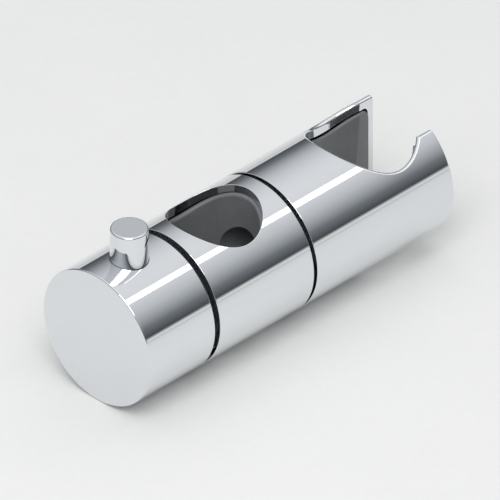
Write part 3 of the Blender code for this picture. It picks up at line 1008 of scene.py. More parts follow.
# Hardened and tempered spring steel, lightly oiled: darker, with a drift in its grey left by the oven
SPRING_STEEL = Finish(
    "tempered spring steel", "#ABACAE", roughness=(0.25, 0.4), cloud=2 * MM, grain=0.3 * MM,
    relief=0.002 * MM, slot="spring_steel", metallic=1.0, shade=0.25,
)
# Brass bar turned on a lathe: the feed of 0.1 mm leaves fine rings
TURNED_BRASS = Finish(
    "turned brass", "#DCC08A", roughness=(0.2, 0.34), cloud=2 * MM, grain=0.1 * MM,
    relief=0.003 * MM, slot="turned_brass", metallic=1.0, shade=0.1, turned=True,
)
# Moulded nitrile rubber: near black and dull, with a bloom that varies
RING_RUBBER = Finish(
    "moulded nitrile rubber", "#26272A", roughness=(0.55, 0.75), cloud=2 * MM, grain=0.25 * MM,
    relief=0.006 * MM, slot="ring_rubber", shade=0.3,
)
# Matt laminate board under the slider: a pale, even sheet with a trace of drift in its tone and of painted
# shade in its grain's hollows
PALE_BOARD = Finish(
    "pale matt laminate", "#F2F2F0", roughness=(0.6, 0.75), cloud=40 * MM, grain=1.5 * MM,
    relief=0.003 * MM, shade=0.02,
)


def place_piece(node: str, patches: Sequence[Patch], finish: Finish, body: str) -> bpy.types.Object:
    """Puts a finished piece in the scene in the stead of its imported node.

    Args:
        node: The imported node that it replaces.
        patches: Its surfaces.
        finish: What it is made of.
        body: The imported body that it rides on.

    Returns:
        The piece.
    """
    name = "finished_" + node
    piece = bpy.data.objects.new(name, build_mesh(name, patches))
    piece.data.materials.append(finish.material())
    bpy.context.scene.collection.objects.link(piece)
    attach(piece, body)
    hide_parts(node)
    LOG.info("%s: %d faces, %s, rides on %s", name, len(piece.data.polygons), finish.name, body)
    return piece


@dataclass
class ClampKnob:
    """The plated cup with its lever pin, and the hub and screw inside.

    Attributes:
        wall: Wall of the cup.
        face_wall: Its front wall.
        face_round: Rounding of its front edge.
        back_round: Rounding of its back edge.
        pin_clearance: Gap between the pin and its hole.
        pin_round: Rounding of the pin's top edge.
        spigot_radius: Radius of the pin's spigot.
        spot_face: Height of the shoulder between pin and spigot.
        head_flats: Width of the screw's head across its flats.
        head_length: Length of that head.
        crown_share: Radius of the flat on top of the head, as a share of its width.
        chamfer: Slope of the head's chamfer.
        shoulder: Place where the screw's thread ends.
        bulb_radius: Radius of the bulb at its tip.
        bulb_length: Length of the bulb.
        bulb_neck_radius: Radius of the neck before the bulb.
        bulb_root_round: Fillet between neck and bulb.
        bulb_tip_round: Rounding of the bulb's tip.
        socket_radius: Radius of the hub's socket, which turns on the core's neck.
        socket_floor: Place of that socket's floor.
        gap: Gap round the screw and the pin in the hub.
    """

    wall: float = 1.8 * MM
    face_wall: float = 2.0 * MM
    face_round: float = 0.35 * MM
    back_round: float = 0.2 * MM
    pin_clearance: float = 0.1 * MM
    pin_round: float = 0.55 * MM
    spigot_radius: float = 2.35 * MM
    spot_face: float = 12.6 * MM
    head_flats: float = 13.0 * MM
    head_length: float = 5.3 * MM
    crown_share: float = 0.47
    chamfer: float = math.radians(30.0)
    shoulder: float = -14.9 * MM
    bulb_radius: float = 2.4 * MM
    bulb_length: float = 1.5 * MM
    bulb_neck_radius: float = 1.9 * MM
    bulb_root_round: float = 0.15 * MM
    bulb_tip_round: float = 0.6 * MM
    socket_radius: float = 9.6 * MM
    socket_floor: float = -22.025 * MM
    gap: float = 0.3 * MM

    def build(self) -> None:
        """Builds and dresses the knob's pieces."""
        place_piece("knob_shell", self.shell(), PLATED_SHELL, "knob")
        place_piece("lever_pin", self.pin(), PLATED_PIN, "knob")
        place_piece("knob_hub", self.hub(), MOULDED_HUB, "knob")
        place_piece("clamp_screw", self.screw(), STAINLESS_SCREW, "knob")

    def shell(self) -> list[Patch]:
        """The cup, with a closed front and the pin's hole in its top.

        Returns:
            Its surfaces.
        """
        reach = Reach.of("knob_shell")
        pin_low, pin_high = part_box("lever_pin")
        hole = Opening((pin_low.x + pin_high.x) / 2, pin_high.y + self.pin_clearance)
        outside = Skin(reach.radius, reach.near, reach.far, self.face_round, self.back_round)
        inside = Skin(reach.radius - self.wall, reach.near + self.face_wall, reach.far, facing=-1.0)
        outer_rim = hole.rim(outside, Mouth.TOP)
        inner_rim = hole.rim(inside, Mouth.TOP)
        outer, inner = outside.cover(outer_rim), inside.cover(inner_rim)
        half = [
            outer,
            inner,
            hole.wall(outer_rim.wall_edge(), inner_rim.wall_edge()),
            ruled(outer.points[0], ALONG * reach.near, -ALONG),
            ruled(inner.points[0], ALONG * inside.near, ALONG),
            ruled(outer.points[-1], inner.points[-1], ALONG),
        ]
        return mirrored(half, ACROSS)

    def pin(self) -> list[Patch]:
        """The turned pin, with its spigot below.

        Returns:
            Its surface.
        """
        low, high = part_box("lever_pin")
        corners = [
            (low.z, 0.0),
            (low.z, self.spigot_radius, EASED_ROUND),
            (self.spot_face, self.spigot_radius),
            (self.spot_face, high.y, FINE_ROUND),
            (high.z, high.y, self.pin_round),
            (high.z, 0.0),
        ]
        return [turned(corners, upright_at=(low.x + high.x) / 2)]

    def screw(self) -> list[Patch]:
        """The hex head screw, with a chamfered head and a turned bulb at its tip.

        The chamfer is a cone about the axis. Where it meets a flat, it falls back by the tangent of its
        slope times what the flat's distance there exceeds the crown's radius by.

        Returns:
            Its surfaces.
        """
        reach = Reach.of("clamp_screw")
        head_back, bulb_back = reach.near + self.head_length, reach.far - self.bulb_length
        angle, radius, sides = hexagon(self.head_flats)
        crown = self.crown_share * self.head_flats
        ring = around(reach.near, crown, angle)
        edge = around(reach.near + (radius - crown) * math.tan(self.chamfer), radius, angle)
        base = around(head_back, radius, angle)
        tip = [
            (self.shoulder, CLAMP_THREAD.root()),
            (self.shoulder, self.bulb_neck_radius, EASED_ROUND),
            (bulb_back, self.bulb_neck_radius, self.bulb_root_round),
            (bulb_back, self.bulb_radius, EASED_ROUND),
            (reach.far, self.bulb_radius, self.bulb_tip_round),
            (reach.far, 0.0),
        ]
        return [
            ruled(ring, ALONG * reach.near, -ALONG),
            ruled(ring, edge, around(-math.cos(self.chamfer), math.sin(self.chamfer), angle)),
            ruled(edge, base, sides),
            ruled(base, around(head_back, CLAMP_THREAD.mean, angle), ALONG),
            CLAMP_THREAD.surface(head_back, self.shoulder),
            turned(tip),
        ]

    def hub(self) -> list[Patch]:
        """The moulded hub: a hex pocket in front, the neck's socket behind, and the pin's seat on top.

        Returns:
            Its surfaces.
        """
        reach, pin = Reach.of("knob_hub"), Reach.of("lever_pin")
        ledge = Reach.of("clamp_screw").near + self.head_length + self.gap
        seat = Opening((pin.near + pin.far) / 2, pin.radius + self.gap)
        skin = Skin(reach.radius, reach.near, reach.far, self.gap, self.gap)
        hole, screw_hole = self.spigot_radius + self.gap, CLAMP_THREAD.mean + self.gap

        # Half of the hex pocket, from the middle of its top flat to the middle of its bottom one. Its walls
        # start at the first corner, as the flat above that has the hole for the pin's spigot
        angle, radius, sides = hexagon(self.head_flats + 2 * self.gap, HALF_TURN_STEPS // 3)
        kept = (angle > -WELD_DISTANCE) & (angle < np.pi + WELD_DISTANCE)
        angle, radius, sides = angle[kept], radius[kept], sides[kept]
        mouth, back = around(reach.near, radius, angle), around(ledge, radius, angle)
        corner = HALF_TURN_STEPS // 6
        share = np.linspace(0, 1, 2 * corner + 1)[None, :, None]
        walls = blend(mouth[:, None], back[:, None], share)[corner:]

        # The pin's seat and its spigot's hole, whose lower edge lies in the pocket's top flat
        flat_edge = np.concatenate([mouth[:corner], walls[0], back[:corner][::-1]])
        turn = np.linspace(np.pi, 0, len(flat_edge))
        circle = np.stack([np.cos(turn), np.sin(turn), 0 * turn], axis=1)
        rim = seat.rim(skin, Mouth.TOP, BROKEN_ROUND, len(flat_edge))
        axis = ALONG * seat.centre
        floor = axis + UP * (self.spot_face - self.pin_clearance)
        seat_edge, hole_edge = floor + seat.mid_radius * circle, floor + hole * circle
        hole_end = axis + UP * mouth[0, 2] + hole * circle
        socket = [
            (reach.far, reach.radius - self.gap),
            (reach.far, self.socket_radius, EASED_ROUND),
            (self.socket_floor, self.socket_radius, EASED_ROUND),
            (self.socket_floor, screw_hole, FINE_ROUND),
            (ledge, screw_hole),
        ]
        half = [
            skin.cover(rim),
            rim.face,
            seat.wall(rim.wall_edge(), seat_edge),
            ruled(seat_edge, hole_edge, UP),
            ruled(hole_edge, hole_end, -circle),
            ruled(flat_edge, hole_end, -UP),
            Patch(walls[1:], np.broadcast_to(-sides[corner + 1 :, None], walls[1:].shape)),
            ruled(around(reach.near, reach.radius - self.gap, angle), mouth, -ALONG),
            ruled(back, around(ledge, screw_hole, angle), -ALONG),
            turned(socket, HALF_TURN),
        ]
        return mirrored(half, ACROSS)


@dataclass
class ClampPad:
    """The moulded pad that presses on the rail, with a snap socket for the screw's bulb.

    Attributes:
        half_width: Half its width and height.
        corner: Radius of its four long corners.
        face_radius: Radius of its hollow face, which is the rail bore's.
        edge_round: Rounding of the edges of its two faces.
        mouth_radius: Radius of the socket's mouth.
        lip: Length of that mouth.
        socket_radius: Radius of the socket.
        socket_length: Length of the socket behind the lip.
        steps: Steps round a quarter of it.
    """

    half_width: float = 5.5 * MM
    corner: float = 1.5 * MM
    face_radius: float = 10.25 * MM
    edge_round: float = 0.35 * MM
    mouth_radius: float = 2.2 * MM
    lip: float = 0.9 * MM
    socket_radius: float = 2.7 * MM
    socket_length: float = 2.1 * MM
    steps: int = 48

    def build(self) -> None:
        """Builds and dresses the pad."""
        place_piece("clamp_pad", self.pad(), PAD_PLASTIC, "pad")

    def hollow(self, loops: Array) -> tuple[Array, Array]:
        """Lays loops on the hollow face, at x = -sqrt(radius^2 - y^2).

        Args:
            loops: Points, of which y and z count.

        Returns:
            The points, and the face's normals there.
        """
        depth = np.sqrt(self.face_radius**2 - loops[..., 1] ** 2)
        points = np.stack([-depth, loops[..., 1], loops[..., 2]], axis=-1)
        normals = np.stack([depth, -loops[..., 1], 0 * depth], axis=-1) / self.face_radius
        return points, normals

    def pad(self) -> list[Patch]:
        """The pad: loops round its sides that roll over onto its hollow face and its flat back.

        Returns:
            Its surfaces.
        """
        near = Reach.of("clamp_pad").near
        edge, sides = rounded_square(self.half_width, self.corner, self.steps)
        size = self.edge_round
        tilt = np.linspace(0, np.pi / 2, ROUND_STEPS + 1)[None, :, None]
        loops = edge[:, None] - size * (1 - np.cos(tilt)) * sides[:, None]
        front, facing = self.hollow(loops)
        front = front - ALONG * size * (1 - np.sin(tilt))
        back = loops + ALONG * (near + size * (1 - np.sin(tilt)))
        shrink = np.linspace(1, 0, ROUND_STEPS + 1)[None, :, None]
        middle = Patch(*self.hollow(loops[:, -1:] * shrink))
        mouth = around(near, self.mouth_radius, np.linspace(0, np.pi / 2, self.steps + 1))
        lip_far = near + self.lip
        socket = [
            (lip_far + self.socket_length, 0.0),
            (lip_far + self.socket_length, self.socket_radius, LEAD_ROUND),
            (lip_far, self.socket_radius, BROKEN_ROUND),
            (lip_far, self.mouth_radius, FINE_ROUND),
            (near, self.mouth_radius),
        ]
        quarter = [
            Patch(front, unit(np.cos(tilt) * sides[:, None] + np.sin(tilt) * facing)),
            middle,
            ruled(front[:, 0], back[:, 0], sides),
            Patch(back, unit(np.cos(tilt) * sides[:, None] - np.sin(tilt) * ALONG)),
            ruled(back[:, -1], mouth, -ALONG),
            turned(socket, np.linspace(0, np.pi / 2, self.steps + 1)),
        ]
        return mirrored(quarter, ACROSS, UPWARDS)


@dataclass
class RailBody:
    """The middle segment: a plated sleeve on a moulded core, with the rail bore through both.

    Attributes:
        wall: Wall of the sleeve.
        edge_round: Rounding of the sleeve's edges.
        face_recess: How far the core's faces lie behind the sleeve's.
        bore_radius: Radius of the rail bore.
        mouth_round: Rounding of the bore's mouths, by which the sleeve's opening is wider.
        counterbore_radius: Radius of the round hole in the bore's wall.
        counterbore_floor: Place of its floor.
        bush_hole_radius: Radius of the bush's hole in that floor.
        journal_radius: Radius of the neck and the spigot that knob and holder turn on.
        pocket_half_width: Half the width of the clamp pad's pocket.
        pocket_corner: Radius of the pocket's corners.
        pocket_depth: Distance of the pocket's floor from the bore's axis.
        screw_hole_radius: Radius of the clamp screw's hole in that floor.
        groove_half_width: Half the width of an O-ring's groove.
        groove_depth: Depth of the groove.
        cord: Diameter of an O-ring's round section.
        friction_ring_hole: Radius of the slip ring's hole.
        friction_ring_round: Rounding of its edges.
        quarter_steps: Steps round a quarter of the core.
    """

    wall: float = 1.8 * MM
    edge_round: float = 0.12 * MM
    face_recess: float = 0.5 * MM
    bore_radius: float = 10.25 * MM
    mouth_round: float = 0.7 * MM
    counterbore_radius: float = 6.28 * MM
    counterbore_floor: float = 27.5 * MM
    bush_hole_radius: float = 4.3 * MM
    journal_radius: float = 9.0 * MM
    pocket_half_width: float = 5.8 * MM
    pocket_corner: float = 1.5 * MM
    pocket_depth: float = 15.2125 * MM
    screw_hole_radius: float = 4.0 * MM
    groove_half_width: float = 0.9 * MM
    groove_depth: float = 1.2 * MM
    cord: float = 1.2 * MM
    friction_ring_hole: float = 9.6 * MM
    friction_ring_round: float = 0.25 * MM
    quarter_steps: int = HALF_TURN_STEPS // 2

    def build(self) -> None:
        """Builds and dresses the sleeve, the core and what the core carries."""
        place_piece("body_sleeve", self.sleeve(), PLATED_SHELL, "body")
        place_piece("body_core", self.core(), MOULDED_CORE, "body")
        place_piece("clamp_insert", CLAMP_THREAD.insert("clamp_insert"), TURNED_BRASS, "body")
        for node in ("neck_ring", "pivot_ring"):
            place_piece(node, self.o_ring(node), RING_RUBBER, "body")
        place_piece("friction_ring", self.friction_ring(), SLIP_PLASTIC, "body")

    def sleeve(self) -> list[Patch]:
        """The plated tube with the rail's opening through it.

        Returns:
            Its surfaces.
        """
        reach, round_off = Reach.of("body_sleeve"), self.edge_round
        opening = Opening(0.0, self.bore_radius + self.mouth_round)
        outside = Skin(reach.radius, reach.near, reach.far, round_off, round_off)
        inside = Skin(reach.radius - self.wall, reach.near, reach.far, facing=-1.0)
        outer_rims = [opening.rim(outside, mouth, round_off) for mouth in Mouth]
        inner_rims = [opening.rim(inside, mouth) for mouth in Mouth]
        outer, inner = outside.cover(*outer_rims), inside.cover(*inner_rims)
        half = [outer, inner, *(rim.face for rim in outer_rims)]
        for first, second in zip(outer_rims, inner_rims):
            half.append(opening.wall(first.wall_edge(), second.wall_edge()))
        half.append(ruled(outer.points[0], inner.points[0], -ALONG))
        half.append(ruled(outer.points[-1], inner.points[-1], ALONG))
        return mirrored(half, ACROSS)

    def core(self) -> list[Patch]:
        """The moulded core: neck, rail bore, pad pocket, counterbore and the spigot.

        The wall of the rail bore reaches from its mouth down to the pocket's edge, to the counterbore's and
        to half height between them. Both edges lie on the bore, at x = -/+ sqrt(radius^2 - y^2).

        Returns:
            Its surfaces.
        """
        reach = Reach.of("body_core")
        half_length = Reach.of("body_sleeve").far - self.face_recess
        skin = Skin(reach.radius, -half_length, half_length, EASED_ROUND, EASED_ROUND)
        bore, radius = Opening(0.0, self.bore_radius), self.bore_radius
        turn = np.linspace(0, np.pi / 2, self.quarter_steps + 1)

        pocket, sides = rounded_square(self.pocket_half_width, self.pocket_corner, self.quarter_steps)
        pocket_edge = pocket - ALONG * np.sqrt(radius**2 - pocket[:, 1:2] ** 2)
        circle_normal = around(0.0, 1.0, turn)
        circle = self.counterbore_radius * circle_normal
        circle_edge = circle + ALONG * np.sqrt(radius**2 - circle[:, 1:2] ** 2)
        level = np.linspace(
            math.pi - math.asin(self.pocket_half_width / radius),
            math.asin(self.counterbore_radius / radius),
            ROUND_STEPS + 1,
        )[1:-1]
        between = radius * np.stack([np.cos(level), np.sin(level), 0 * level], axis=1)
        middle = np.concatenate([pocket_edge, between, circle_edge[::-1]])

        rim = bore.rim(skin, Mouth.TOP, self.mouth_round, len(middle))
        pocket_end = pocket - ALONG * self.pocket_depth
        screw_hole = self.screw_hole_radius * circle_normal - ALONG * self.pocket_depth
        quarter = [
            skin.cover(rim, level=np.pi / 2),
            rim.face,
            bore.wall(rim.wall_edge(), middle, ROUND_STEPS),
            ruled(pocket_edge, pocket_end, -sides),
            ruled(pocket_end, screw_hole, ALONG),
            ruled(circle_edge, circle + ALONG * self.counterbore_floor, -circle_normal),
            turned(self.neck_section(reach.near, skin), turn),
            turned(self.spigot_section(reach.far, skin), turn),
        ]
        return mirrored(quarter, ACROSS, UPWARDS)

    def o_ring(self, node: str) -> list[Patch]:
        """A rubber ring, whose round section is a square with fully rounded corners.

        Args:
            node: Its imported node.

        Returns:
            Its surface.
        """
        reach = Reach.of(node)
        section = ring_section(
            reach.near, reach.far, reach.radius - self.cord, reach.radius, self.cord / 2
        )
        return [turned(section, closed=True)]

    def friction_ring(self) -> list[Patch]:
        """The slip ring between body and holder, with eased edges.

        Returns:
            Its surface.
        """
        reach, hole = Reach.of("friction_ring"), self.friction_ring_hole
        section = ring_section(reach.near, reach.far, hole, reach.radius, self.friction_ring_round)
        return [turned(section, closed=True)]

    def groove(self, node: str) -> list[tuple[float, ...]]:
        """An O-ring's groove in the journal.

        Args:
            node: The ring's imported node, which lies in the groove's middle.

        Returns:
            Corners from its near side to its far one.
        """
        ring = Reach.of(node)
        middle = (ring.near + ring.far) / 2
        near, far = middle - self.groove_half_width, middle + self.groove_half_width
        floor = self.journal_radius - self.groove_depth
        return [
            (near, self.journal_radius, FINE_ROUND),
            (near, floor, FINE_ROUND),
            (far, floor, FINE_ROUND),
            (far, self.journal_radius, FINE_ROUND),
        ]

    def neck_section(self, tip: float, skin: Skin) -> list[tuple[float, ...]]:
        """The neck, from the pocket's floor through the insert's cavity and back along its outside.

        Args:
            tip: Place of its end.
            skin: The core's skin.

        Returns:
            Corners for an outline.
        """
        insert = Reach.of("clamp_insert")
        return [
            (-self.pocket_depth, self.screw_hole_radius),
            (insert.far + INSERT_GAP, self.screw_hole_radius),
            *banded(insert, INSERT_GAP)[:-1],
            (tip, insert.radius + INSERT_GAP, BROKEN_ROUND),
            (tip, self.journal_radius, LEAD_ROUND),
            *self.groove("neck_ring"),
            (skin.near, self.journal_radius, EASED_ROUND),
            (skin.near, skin.radius - skin.near_round),
        ]

    def spigot_section(self, tip: float, skin: Skin) -> list[tuple[float, ...]]:
        """The spigot, from the core's far face along its outside and back to the counterbore's floor.

        Args:
            tip: Place of its end.
            skin: The core's skin.

        Returns:
            Corners for an outline.
        """
        return [
            (skin.far, skin.radius - skin.far_round),
            (skin.far, self.journal_radius, EASED_ROUND),
            *self.groove("pivot_ring"),
            (tip, self.journal_radius, LEAD_ROUND),
            (tip, self.bush_hole_radius, BROKEN_ROUND),
            (self.counterbore_floor, self.bush_hole_radius, FINE_ROUND),
            (self.counterbore_floor, self.counterbore_radius),
        ]


@dataclass
class HandsetHolder:
    """The plated cup with the moulded liner that holds the handset's hose nut.

    Attributes:
        wall: Wall of the cup.
        end_wall: Its end wall.
        end_round: Rounding of the cup's far edge.
        near_round: Rounding of the near edges of cup and liner.
        corner: Rounding of the liner's far edge, and of the cup's inside there.
        shell_edge_round: Rounding of the cup's edge round seat and slot.
        liner_edge_round: Rounding of the liner's edge there.
        seat_setback: Distance of the seat's axis from the far end.
        seat_radius: Radius of the seat at the height of the barrel's axis.
        seat_half_angle: Half angle of its taper.
        slot_half_width: Half the width of the hose slot.
        reveal: How much wider the cup's opening is than the liner's, all round.
        socket_radius: Radius of the liner's socket, which turns on the core's spigot.
        seating: Distance of the socket's floor from the insert.
    """

    wall: float = 2.25 * MM
    end_wall: float = 1.6 * MM
    end_round: float = 0.4 * MM
    near_round: float = 0.15 * MM
    corner: float = 1.4 * MM
    shell_edge_round: float = 0.7 * MM
    liner_edge_round: float = 0.5 * MM
    seat_setback: float = 12.675 * MM
    seat_radius: float = 10.97 * MM
    seat_half_angle: float = math.radians(3.8)
    slot_half_width: float = 8.45 * MM
    reveal: float = 0.5 * MM
    socket_radius: float = 9.6 * MM
    seating: float = 0.1 * MM

    def build(self) -> None:
        """Builds and dresses the shell and the liner."""
        place_piece("holder_shell", self.shell(), PLATED_SHELL, "holder")
        place_piece("holder_liner", self.liner(), MOULDED_LINER, "holder")

    def seat(self, reveal: float = 0.0) -> Opening:
        """The tapered seat with its slot.

        Args:
            reveal: How much wider it is, all round.

        Returns:
            The opening.
        """
        return Opening(
            Reach.of("holder_shell").far - self.seat_setback,
            self.seat_radius + reveal,
            self.seat_half_angle,
            self.slot_half_width + reveal,
        )

    def shell(self) -> list[Patch]:
        """The plated cup, cut through by the seat and by the slot in its far end.

        Returns:
            Its surfaces.
        """
        reach, seat = Reach.of("holder_shell"), self.seat(self.reveal)
        outside = Skin(reach.radius, reach.near, reach.far, self.near_round, self.end_round)
        inside = Skin(
            reach.radius - self.wall,
            reach.near,
            reach.far - self.end_wall,
            far_round=self.corner,
            facing=-1.0,
        )
        outer_rims = [seat.rim(outside, mouth, self.shell_edge_round) for mouth in Mouth]
        inner_rims = [seat.rim(inside, mouth) for mouth in Mouth]
        outer, inner = outside.cover(*outer_rims), inside.cover(*inner_rims)
        outer_end, inner_end = end_chain(outer, *outer_rims), end_chain(inner, *inner_rims)
        outer_line, inner_line = straight_chain(outer_end), straight_chain(inner_end)
        half = [outer, inner, *(rim.face for rim in outer_rims)]
        for first, second in zip(outer_rims, inner_rims):
            half.append(seat.wall(first.wall_edge(), second.wall_edge()))
            half.append(ruled(first.wall_edge(slot=True), second.wall_edge(slot=True), -ASIDE))
        half += [
            ruled(outer_line, inner_line, -ASIDE),
            ruled(outer_end, outer_line, ALONG),
            ruled(inner_end, inner_line, -ALONG),
            ruled(outer.points[0], inner.points[0], -ALONG),
        ]
        return mirrored(half, ACROSS)

    def liner(self) -> list[Patch]:
        """The moulded liner: seat, slot, and behind them the socket and the insert's cavity.

        Returns:
            Its surfaces.
        """
        reach, seat = Reach.of("holder_liner"), self.seat()
        skin = Skin(reach.radius, reach.near, reach.far, self.near_round, self.corner)
        rims = [seat.rim(skin, mouth, self.liner_edge_round) for mouth in Mouth]
        outer = skin.cover(*rims)
        end = end_chain(outer, *rims)
        upper, lower = (rim.wall_edge(slot=True) for rim in rims)
        edge = np.concatenate([upper, straight_chain(end), lower[::-1]])
        wall = seat.wall(rims[0].wall_edge(), rims[1].wall_edge(), len(edge) - 1)
        half = [
            outer,
            *(rim.face for rim in rims),
            wall,
            ruled(edge, wall.points[-1], -ASIDE),
            ruled(end, straight_chain(end), ALONG),
            turned(self.socket_section(skin), HALF_TURN),
        ]
        return mirrored(half, ACROSS)

    def socket_section(self, skin: Skin) -> list[tuple[float, ...]]:
        """The liner's inside, from the cavity's floor out along the cavity and the socket to its near face.

        Args:
            skin: The liner's skin.

        Returns:
            Corners for an outline.
        """
        insert = Reach.of("pivot_insert")
        floor = insert.near - self.seating
        return [
            (insert.far + INSERT_GAP, 0.0),
            *banded(insert, INSERT_GAP)[:-1],
            (floor, insert.radius + INSERT_GAP),
            (floor, self.socket_radius, BROKEN_ROUND),
            (skin.near, self.socket_radius, EASED_ROUND),
            (skin.near, skin.radius - skin.near_round),
        ]


@dataclass
class Pivot:
    """The stack that the holder swivels on, from the screw's head in the counterbore to its insert.

    Attributes:
        bore: Radius of the hole in washers, springs and bush.
        punched_round: Rounding of the edges that the punch draws in on a washer.
        sheared_round: Rounding of those that it shears off.
        spring_thickness: Thickness of a disc spring.
        spring_round: Rounding of its edges.
        bush_radius: Radius of the bush behind its flange.
        bush_flange: Thickness of the flange.
        root_round: Fillet under the screw's head and under the bush's flange, and rounding of the bush's
            hole at its far end.
        head_length: Length of the screw's head.
        head_round: Rounding of its rim.
        key_flats: Width of its hex socket across the flats.
        key_depth: Depth of the socket's walls.
        key_point: Depth of the cone that the punch leaves below them.
        mouth_share: Radius of the socket's countersink, as a share of its width.
        point: Length and height of the chamfer at the screw's tip.
    """

    bore: float = 3.0 * MM
    punched_round: float = 0.22 * MM
    sheared_round: float = 0.06 * MM
    spring_thickness: float = 0.5 * MM
    spring_round: float = 0.12 * MM
    bush_radius: float = 4.0 * MM
    bush_flange: float = 0.8 * MM
    root_round: float = 0.15 * MM
    head_length: float = 4.0 * MM
    head_round: float = 0.5 * MM
    key_flats: float = 4.0 * MM
    key_depth: float = 2.0 * MM
    key_point: float = 0.4 * MM
    mouth_share: float = 0.64
    point: float = 0.5 * MM

    def build(self) -> None:
        """Builds and dresses the stack's pieces, each on the side that it turns with."""
        place_piece("pivot_screw", self.screw(), STAINLESS_SCREW, "holder")
        place_piece("pivot_washer", self.washer("pivot_washer"), STAINLESS_WASHER, "holder")
        for node, opens_to_holder in (("disc_spring_inner", True), ("disc_spring_outer", False)):
            place_piece(node, self.spring(node, opens_to_holder), SPRING_STEEL, "body")
        place_piece("thrust_washer", self.washer("thrust_washer"), STAINLESS_WASHER, "body")
        place_piece("pivot_bush", self.bush(), SLIP_PLASTIC, "body")
        place_piece("pivot_insert", PIVOT_THREAD.insert("pivot_insert"), TURNED_BRASS, "holder")

    def washer(self, node: str) -> list[Patch]:
        """A stamped washer: the punch draws the edges of one face round and leaves the other's sharp.

        Args:
            node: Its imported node.

        Returns:
            Its surface.
        """
        reach = Reach.of(node)
        section = ring_section(
            reach.near, reach.far, self.bore, reach.radius, self.punched_round, self.sheared_round
        )
        return [turned(section, closed=True)]

    def spring(self, node: str, opens_to_holder: bool) -> list[Patch]:
        """A disc spring, which is a shallow cone.

        Args:
            node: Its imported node.
            opens_to_holder: Whether its wide side faces the holder.

        Returns:
            Its surface.
        """
        reach = Reach.of(node)
        low, high = reach.near, reach.far - self.spring_thickness
        outer, inner = (high, low) if opens_to_holder else (low, high)
        section = [
            (outer, reach.radius, self.spring_round),
            (outer + self.spring_thickness, reach.radius, self.spring_round),
            (inner + self.spring_thickness, self.bore, self.spring_round),
            (inner, self.bore, self.spring_round),
        ]
        return [turned(section, closed=True)]

    def bush(self) -> list[Patch]:
        """The moulded bearing bush with its flange.

        Returns:
            Its surface.
        """
        reach = Reach.of("pivot_bush")
        flange_far = reach.near + self.bush_flange
        section = [
            (reach.near, reach.radius, BROKEN_ROUND),
            (flange_far, reach.radius, BROKEN_ROUND),
            (flange_far, self.bush_radius, self.root_round),
            (reach.far, self.bush_radius, EASED_ROUND),
            (reach.far, self.bore, self.root_round),
            (reach.near, self.bore, EASED_ROUND),
        ]
        return [turned(section, closed=True)]

    def screw(self) -> list[Patch]:
        """The low head socket screw, with a countersunk hex socket and a thread for its insert alone.

        The countersink is a cone of 45 degrees about the axis, which meets the socket's flats where it has
        come in as far as it has gone down.

        Returns:
            Its surfaces.
        """
        reach, shank = Reach.of("pivot_screw"), PIVOT_THREAD.mean
        angle, radius, sides = hexagon(self.key_flats)
        mouth = self.mouth_share * self.key_flats
        head_far, thread_far = reach.near + self.head_length, reach.far - self.point
        thread_near = Reach.of("pivot_insert").near - PIVOT_THREAD.pitch
        head = [
            (reach.near, mouth),
            (reach.near, reach.radius, self.head_round),
            (head_far, reach.radius, self.root_round),
            (head_far, shank, BROKEN_ROUND),
            (thread_near, shank),
        ]
        tip = [(thread_far, PIVOT_THREAD.root()), (reach.far, shank - self.point), (reach.far, 0.0)]
        ring = around(reach.near, mouth, angle)
        edge = around(reach.near + mouth - radius, radius, angle)
        floor = around(reach.near + self.key_depth, radius, angle)
        lean = math.sqrt(0.5)
        return [
            ruled(ring, edge, around(-lean, -lean, angle)),
            ruled(edge, floor, -sides),
            ruled(floor, ALONG * (reach.near + self.key_depth + self.key_point), -ALONG),
            turned(head),
            PIVOT_THREAD.surface(thread_near, thread_far),
            turned(tip),
        ]


@dataclass(frozen=True)
class Softbox:
    """A lamp with a soft rectangular face that looks at the object's middle.

    Attributes:
        name: Name of the lamp.
        place: Where it hangs.
        width: Its width.
        length: Its length in the direction of the barrel.
        power: Its power in watts.
    """

    name: str
    place: tuple[float, float, float]
    width: float
    length: float
    power: float

    def hang(self) -> None:
        """Adds the lamp to the scene, turned to the middle with its length along the barrel."""
        data = bpy.data.lights.new(self.name, "AREA")
        data.shape = "RECTANGLE"
        data.size, data.size_y = self.width, self.length
        data.energy = self.power
        lamp = bpy.data.objects.new(self.name, data)
        away = Vector(self.place).normalized()
        across = away.cross(ALONG).normalized()
        lamp.location = self.place
        lamp.rotation_euler = Matrix((across, away.cross(across), away)).transposed().to_euler()
        bpy.context.scene.collection.objects.link(lamp)


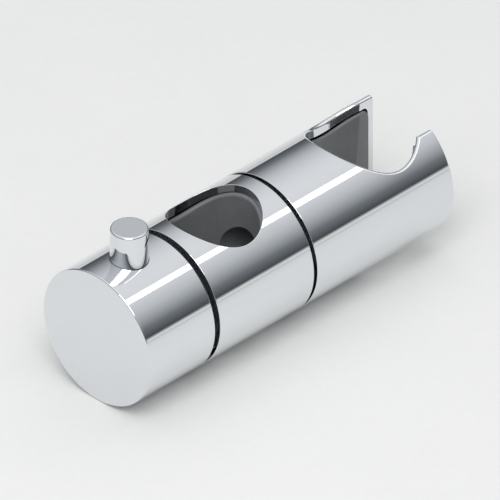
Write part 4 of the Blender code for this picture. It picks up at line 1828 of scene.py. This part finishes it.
@dataclass
class Studio:
    """A plain pale floor, soft lamps and a camera at the drawing's isometric angle.

    Attributes:
        picture_side: Side of the square picture, in pixels.
        pixel_length: True length of the object that one pixel of the picture covers.
        face_pixel: Where the middle of the knob's face lies in the picture.
        camera_distance: Distance of the camera from what it looks at.
        floor_side: Side of the square floor.
        lamps: A broad lamp overhead behind the camera's left, and a long one on the right.
        sky: Heights and tones of the surroundings. The horizon is at 0, and 1 is straight up.
    """

    picture_side: float = 500.0
    pixel_length: float = 0.22502 * MM
    face_pixel: tuple[float, float] = (96.6, 338.1)
    camera_distance: float = 0.6
    floor_side: float = 6.0
    lamps: tuple[Softbox, ...] = (
        Softbox("key", (-0.45, -0.35, 0.75), width=0.55, length=0.55, power=3.4),
        Softbox("strip", (0.46, -0.24, 0.61), width=0.1, length=0.5, power=0.22),
    )
    sky: tuple[tuple[float, str], ...] = (
        (0.02, "#EAEAE8"),
        (0.08, "#4A4D50"),
        (0.28, "#777B7F"),
        (0.6, "#CDD0D3"),
        (0.95, "#FFFFFF"),
    )

    def build(self) -> None:
        """Sets the stage, the lamps, the surroundings and the camera."""
        self.lay_floor()
        for lamp in self.lamps:
            lamp.hang()
        self.surround()
        self.set_camera()

    def set_camera(self) -> None:
        """Looks along the body diagonal of a cube, as isometric drawings do, without perspective.

        What it looks at lies as many pixel lengths from the middle of the knob's face, across and upward,
        as the picture's middle lies from the pixel that shows the face's.
        """
        back = unit(np.array([-1.0, -1.0, 1.0]))
        right = unit(np.array([1.0, -1.0, 0.0]))
        upward = np.cross(back, right)
        across = (self.picture_side / 2 - self.face_pixel[0]) * self.pixel_length
        above = (self.face_pixel[1] - self.picture_side / 2) * self.pixel_length
        aim = ALONG * Reach.of("knob_shell").near + right * across + upward * above
        data = bpy.data.cameras.new("camera")
        data.type = "ORTHO"
        data.ortho_scale = self.picture_side * self.pixel_length
        camera = bpy.data.objects.new("camera", data)
        camera.location = aim + back * self.camera_distance
        camera.rotation_euler = Vector(-back).to_track_quat("-Z", "Y").to_euler()
        bpy.context.scene.collection.objects.link(camera)
        bpy.context.scene.camera = camera

    def lay_floor(self) -> None:
        """A wide pale sheet under the barrel."""
        half, height = self.floor_side / 2, CAD_BOX[0].z
        sides = ((-half, -half), (half, -half), (half, half), (-half, half))
        mesh = bpy.data.meshes.new("floor")
        mesh.from_pydata([(*side, height) for side in sides], [], [(0, 1, 2, 3)])
        mesh.materials.append(PALE_BOARD.material())
        floor = bpy.data.objects.new("floor", mesh)
        bpy.context.scene.collection.objects.link(floor)

    def surround(self) -> None:
        """A pale sweep up to the horizon, then dark walls that brighten to a white ceiling.

        The dark walls give the plate its contrast.
        """
        world = bpy.data.worlds.new("studio")
        world.use_nodes = True
        tree = world.node_tree
        tree.nodes.clear()
        direction = add_node(tree, "TexCoord").outputs["Generated"]
        height = add_node(tree, "SeparateXYZ", {"Vector": direction}).outputs["Z"]
        ramp = add_node(tree, "ValToRGB", {"Fac": height})
        stops = ramp.color_ramp.elements
        stops[0].position, stops[-1].position = self.sky[0][0], self.sky[-1][0]
        for position, _ in self.sky[1:-1]:
            stops.new(position)
        for stop, (_, colour) in zip(stops, self.sky):
            stop.color = linear(colour)
        studio = add_node(tree, "Background", {"Color": ramp.outputs["Color"], "Strength": 1.0})
        add_node(tree, "OutputWorld", {"Surface": studio.outputs[0]})
        bpy.context.scene.world = world


def main() -> None:
    """Builds the slider's pieces in order, then the studio round them."""
    logging.basicConfig(level=logging.INFO, format="%(name)s: %(message)s")
    bpy.context.scene.view_settings.view_transform = "Standard"
    for assembly in (ClampKnob(), ClampPad(), RailBody(), HandsetHolder(), Pivot(), Studio()):
        assembly.build()


if __name__ == "__main__":
    main()
